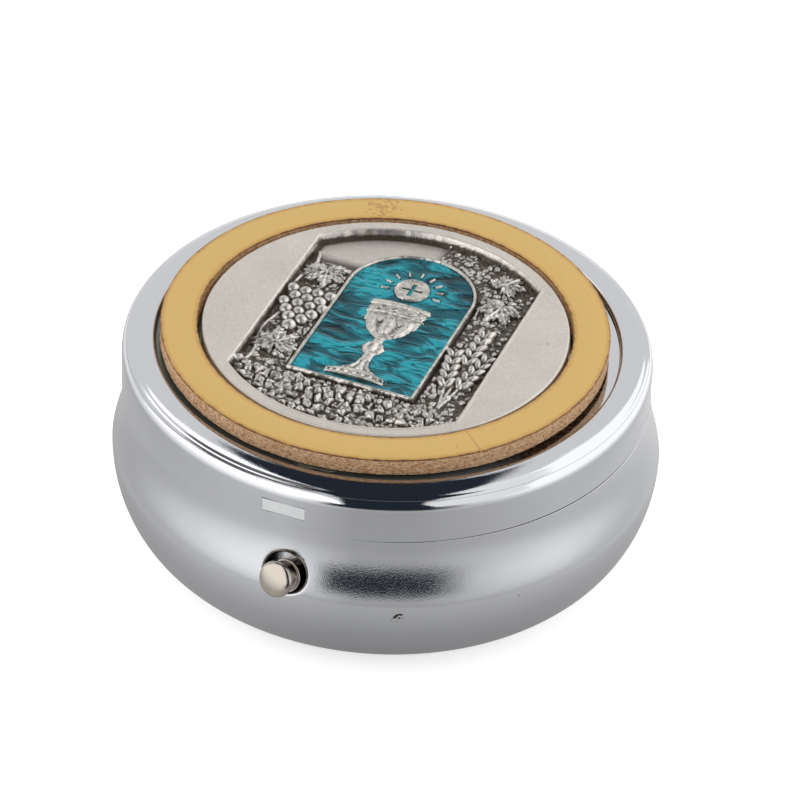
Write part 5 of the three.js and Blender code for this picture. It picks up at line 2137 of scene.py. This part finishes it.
        def over(theta: float, x: float) -> Vector:
            """Place on the strip of cloth that runs over the object."""
            a = math.radians(theta)
            return turn @ Vector((x, -math.cos(a), math.sin(a))).normalized() * self.cloth_reach

        self.card("overhead_cloth", self.cloth, over, self.glowing("dark_cloth", self.navy, 1.0))
        for name, reach, strength, rows in self.panels:
            glow = self.glowing(name + "_glow", "FFFFFF", strength)
            self.card(name, rows, lambda up, side, reach=reach: self.direction(side, up) * reach, glow)

    @staticmethod
    def between(node: Adder, angle: Node, lane: tuple[Point, Point]) -> Node:
        """Mask of a lane of the floor.

        Args:
            node: Adds a node.
            angle: Azimuth of the place, in radians.
            lane: Azimuths in degrees where the lane starts and is full on its left, and the same on
                its right.

        Returns:
            A node from zero outside to one in the lane.
        """
        left, right = (
            node("MapRange", Value=angle, From_Min=math.radians(start), From_Max=math.radians(full))
            for start, full in lane
        )
        return node("Math", MULTIPLY, left, right)

    def sheen_card(self) -> None:
        """The floor as the chrome shows it, as a painted reflection: dimmer in the object's painted
        shade, brighter further out as a painted pool of light, with the cloth in front.
        """
        look, node = self.shader("floor_sheen")
        place = node("TexCoord").outputs["Object"]
        turn = (0, 0, -math.radians(self.azimuth))
        facing = node("Mapping", Vector=place, Rotation=turn, Scale=(1, 1, 0))
        radius = node("VectorMath", LENGTH, facing)
        reach, brightest = self.sheen[-1]
        share = node("MapRange", Value=radius, From_Max=reach * MM)
        points = [(r / reach, v / brightest) for r, v in self.sheen]
        base = node("FloatCurve", {"points": points}, Value=share)
        split = node("SeparateXYZ", Vector=facing).outputs
        back = node("Math", MULTIPLY, split["Y"], -1.0)
        angle = node("Math", ARCTAN2, split["X"], back)
        near, far = (end * MM for end in self.shade_ends)
        deep, pale = self.shade_levels
        fading = node("MapRange", Value=radius, From_Min=near, From_Max=far, To_Min=deep, To_Max=pale)
        shade = node("Math", MULTIPLY, fading, self.between(node, angle, self.shade_lane))
        level = node("MapRange", Value=shade, To_Min=brightest, To_Max=0.0)
        dim, full = (math.radians(end) for end in self.left_dims)
        low, high = self.left_levels
        to_left = node("MapRange", Value=angle, From_Min=dim, From_Max=full, To_Min=low, To_Max=high)
        faced = node("Math", MULTIPLY, level, to_left)
        white = node("Math", MULTIPLY, base, faced)
        lit = node("VectorMath", SCALE, self.white[:3], Scale=white)
        near, far = (end * MM for end in self.cloth_ends)
        past = node("MapRange", SMOOTH, Value=radius, From_Min=near, From_Max=far)
        dark = node("Math", MULTIPLY, self.between(node, angle, self.cloth_lane), past)
        tone = node("Mix", RGBA, dark, i6=lit, i7=linear(self.navy))
        node("OutputMaterial", Surface=node("Emission", Color=tone, Strength=1.0))
        count = self.sheen_sides
        corners = [
            (reach * MM * math.sin(a), -reach * MM * math.cos(a), 0.05 * MM)
            for reach in (SIZES.foot + 0.3, self.sheen_reach)
            for a in np.linspace(0, 2 * math.pi, count, endpoint=False)
        ]
        faces = [(a, d, c, b) for a, b, c, d in net(2, count)]
        self.only_mirrored(self.placed("floor_sheen", corners, faces, look))

    def camera(self) -> None:
        """Camera of the photograph."""
        data = bpy.data.cameras.new("photo_camera")
        data.sensor_width = 36.0
        data.lens = self.lens
        data.clip_start, data.clip_end = 0.01, 20
        made = bpy.data.objects.new("photo_camera", data)
        bpy.context.scene.collection.objects.link(made)
        back = self.direction(0, self.elevation)
        azimuth = math.radians(self.azimuth)
        right = Vector((math.cos(azimuth), math.sin(azimuth), 0))
        up = back.cross(right)
        turn = math.radians(self.roll)
        turned_right = right * math.cos(turn) + up * math.sin(turn)
        turned_up = up * math.cos(turn) - right * math.sin(turn)
        place = Vector(self.target) * MM + back * self.distance * MM
        axes = Matrix((turned_right, turned_up, back)).transposed().to_4x4()
        made.matrix_world = Matrix.Translation(place) @ axes
        bpy.context.scene.camera = made


CHROME = LappedChrome("lapped_chrome", Slot.CHROME)
NICKEL = PlatedMetal("nickel_plate_sheet", Slot.NICKEL, "C2BBB0", 0.24)
BUTTON = PlatedMetal("warm_nickel_button", Slot.NICKEL, "ACA49A", 0.2, 0.3, 0.004)
GILT = PlatedMetal("gilt_brass_sheet", Slot.GILT, "DDB765", 0.17, 0.4, 0.002)
STEEL = PlatedMetal("drawn_spring_steel", Slot.STEEL, "E4E5E6", 0.34, 0.12, 0.004, (1, 1, 0.12))
BOARD = LaserCutBoard("laser_cut_board", Slot.BOARD)
FOIL = GoldFoil("satin_gold_foil", Slot.FOIL)
GLUE = ClearGlue("clear_set_glue", Slot.GLUE)
SILVER = AntiqueSilver("antique_silver_cast", Slot.SILVER)
ENAMEL = TurquoiseEnamel("turquoise_enamel_pour", Slot.ENAMEL)


def dress_cad_nodes(nodes: dict[str, Object]) -> None:
    """Give the CAD nodes that stay in view their finishes.

    Args:
        nodes: The frame's nodes by name.
    """
    for name, finish in (
        ("latch_spring", STEEL),
        ("base_hinge_leaf", NICKEL),
        ("lid_hinge_leaf", NICKEL),
        ("latch_rivet_left", STEEL),
        ("latch_rivet_right", STEEL),
        ("medallion_glue", GLUE),
    ):
        mesh = nodes[name].data
        mesh.materials.clear()
        mesh.materials.append(finish.material())
        LOG.info("%s: dressed", name)


def main() -> None:
    """Build the whole scene in order."""
    logging.basicConfig(level=logging.INFO, format="%(name)s %(message)s")
    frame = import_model()
    bpy.context.scene.view_settings.view_transform = "Standard"
    for part in (BellyBox(), Lid(), Medallion(), PressLatch(), Hinge()):
        part.build()
    dress_cad_nodes(frame["nodes"])
    Studio().build()


if __name__ == "__main__":
    main()
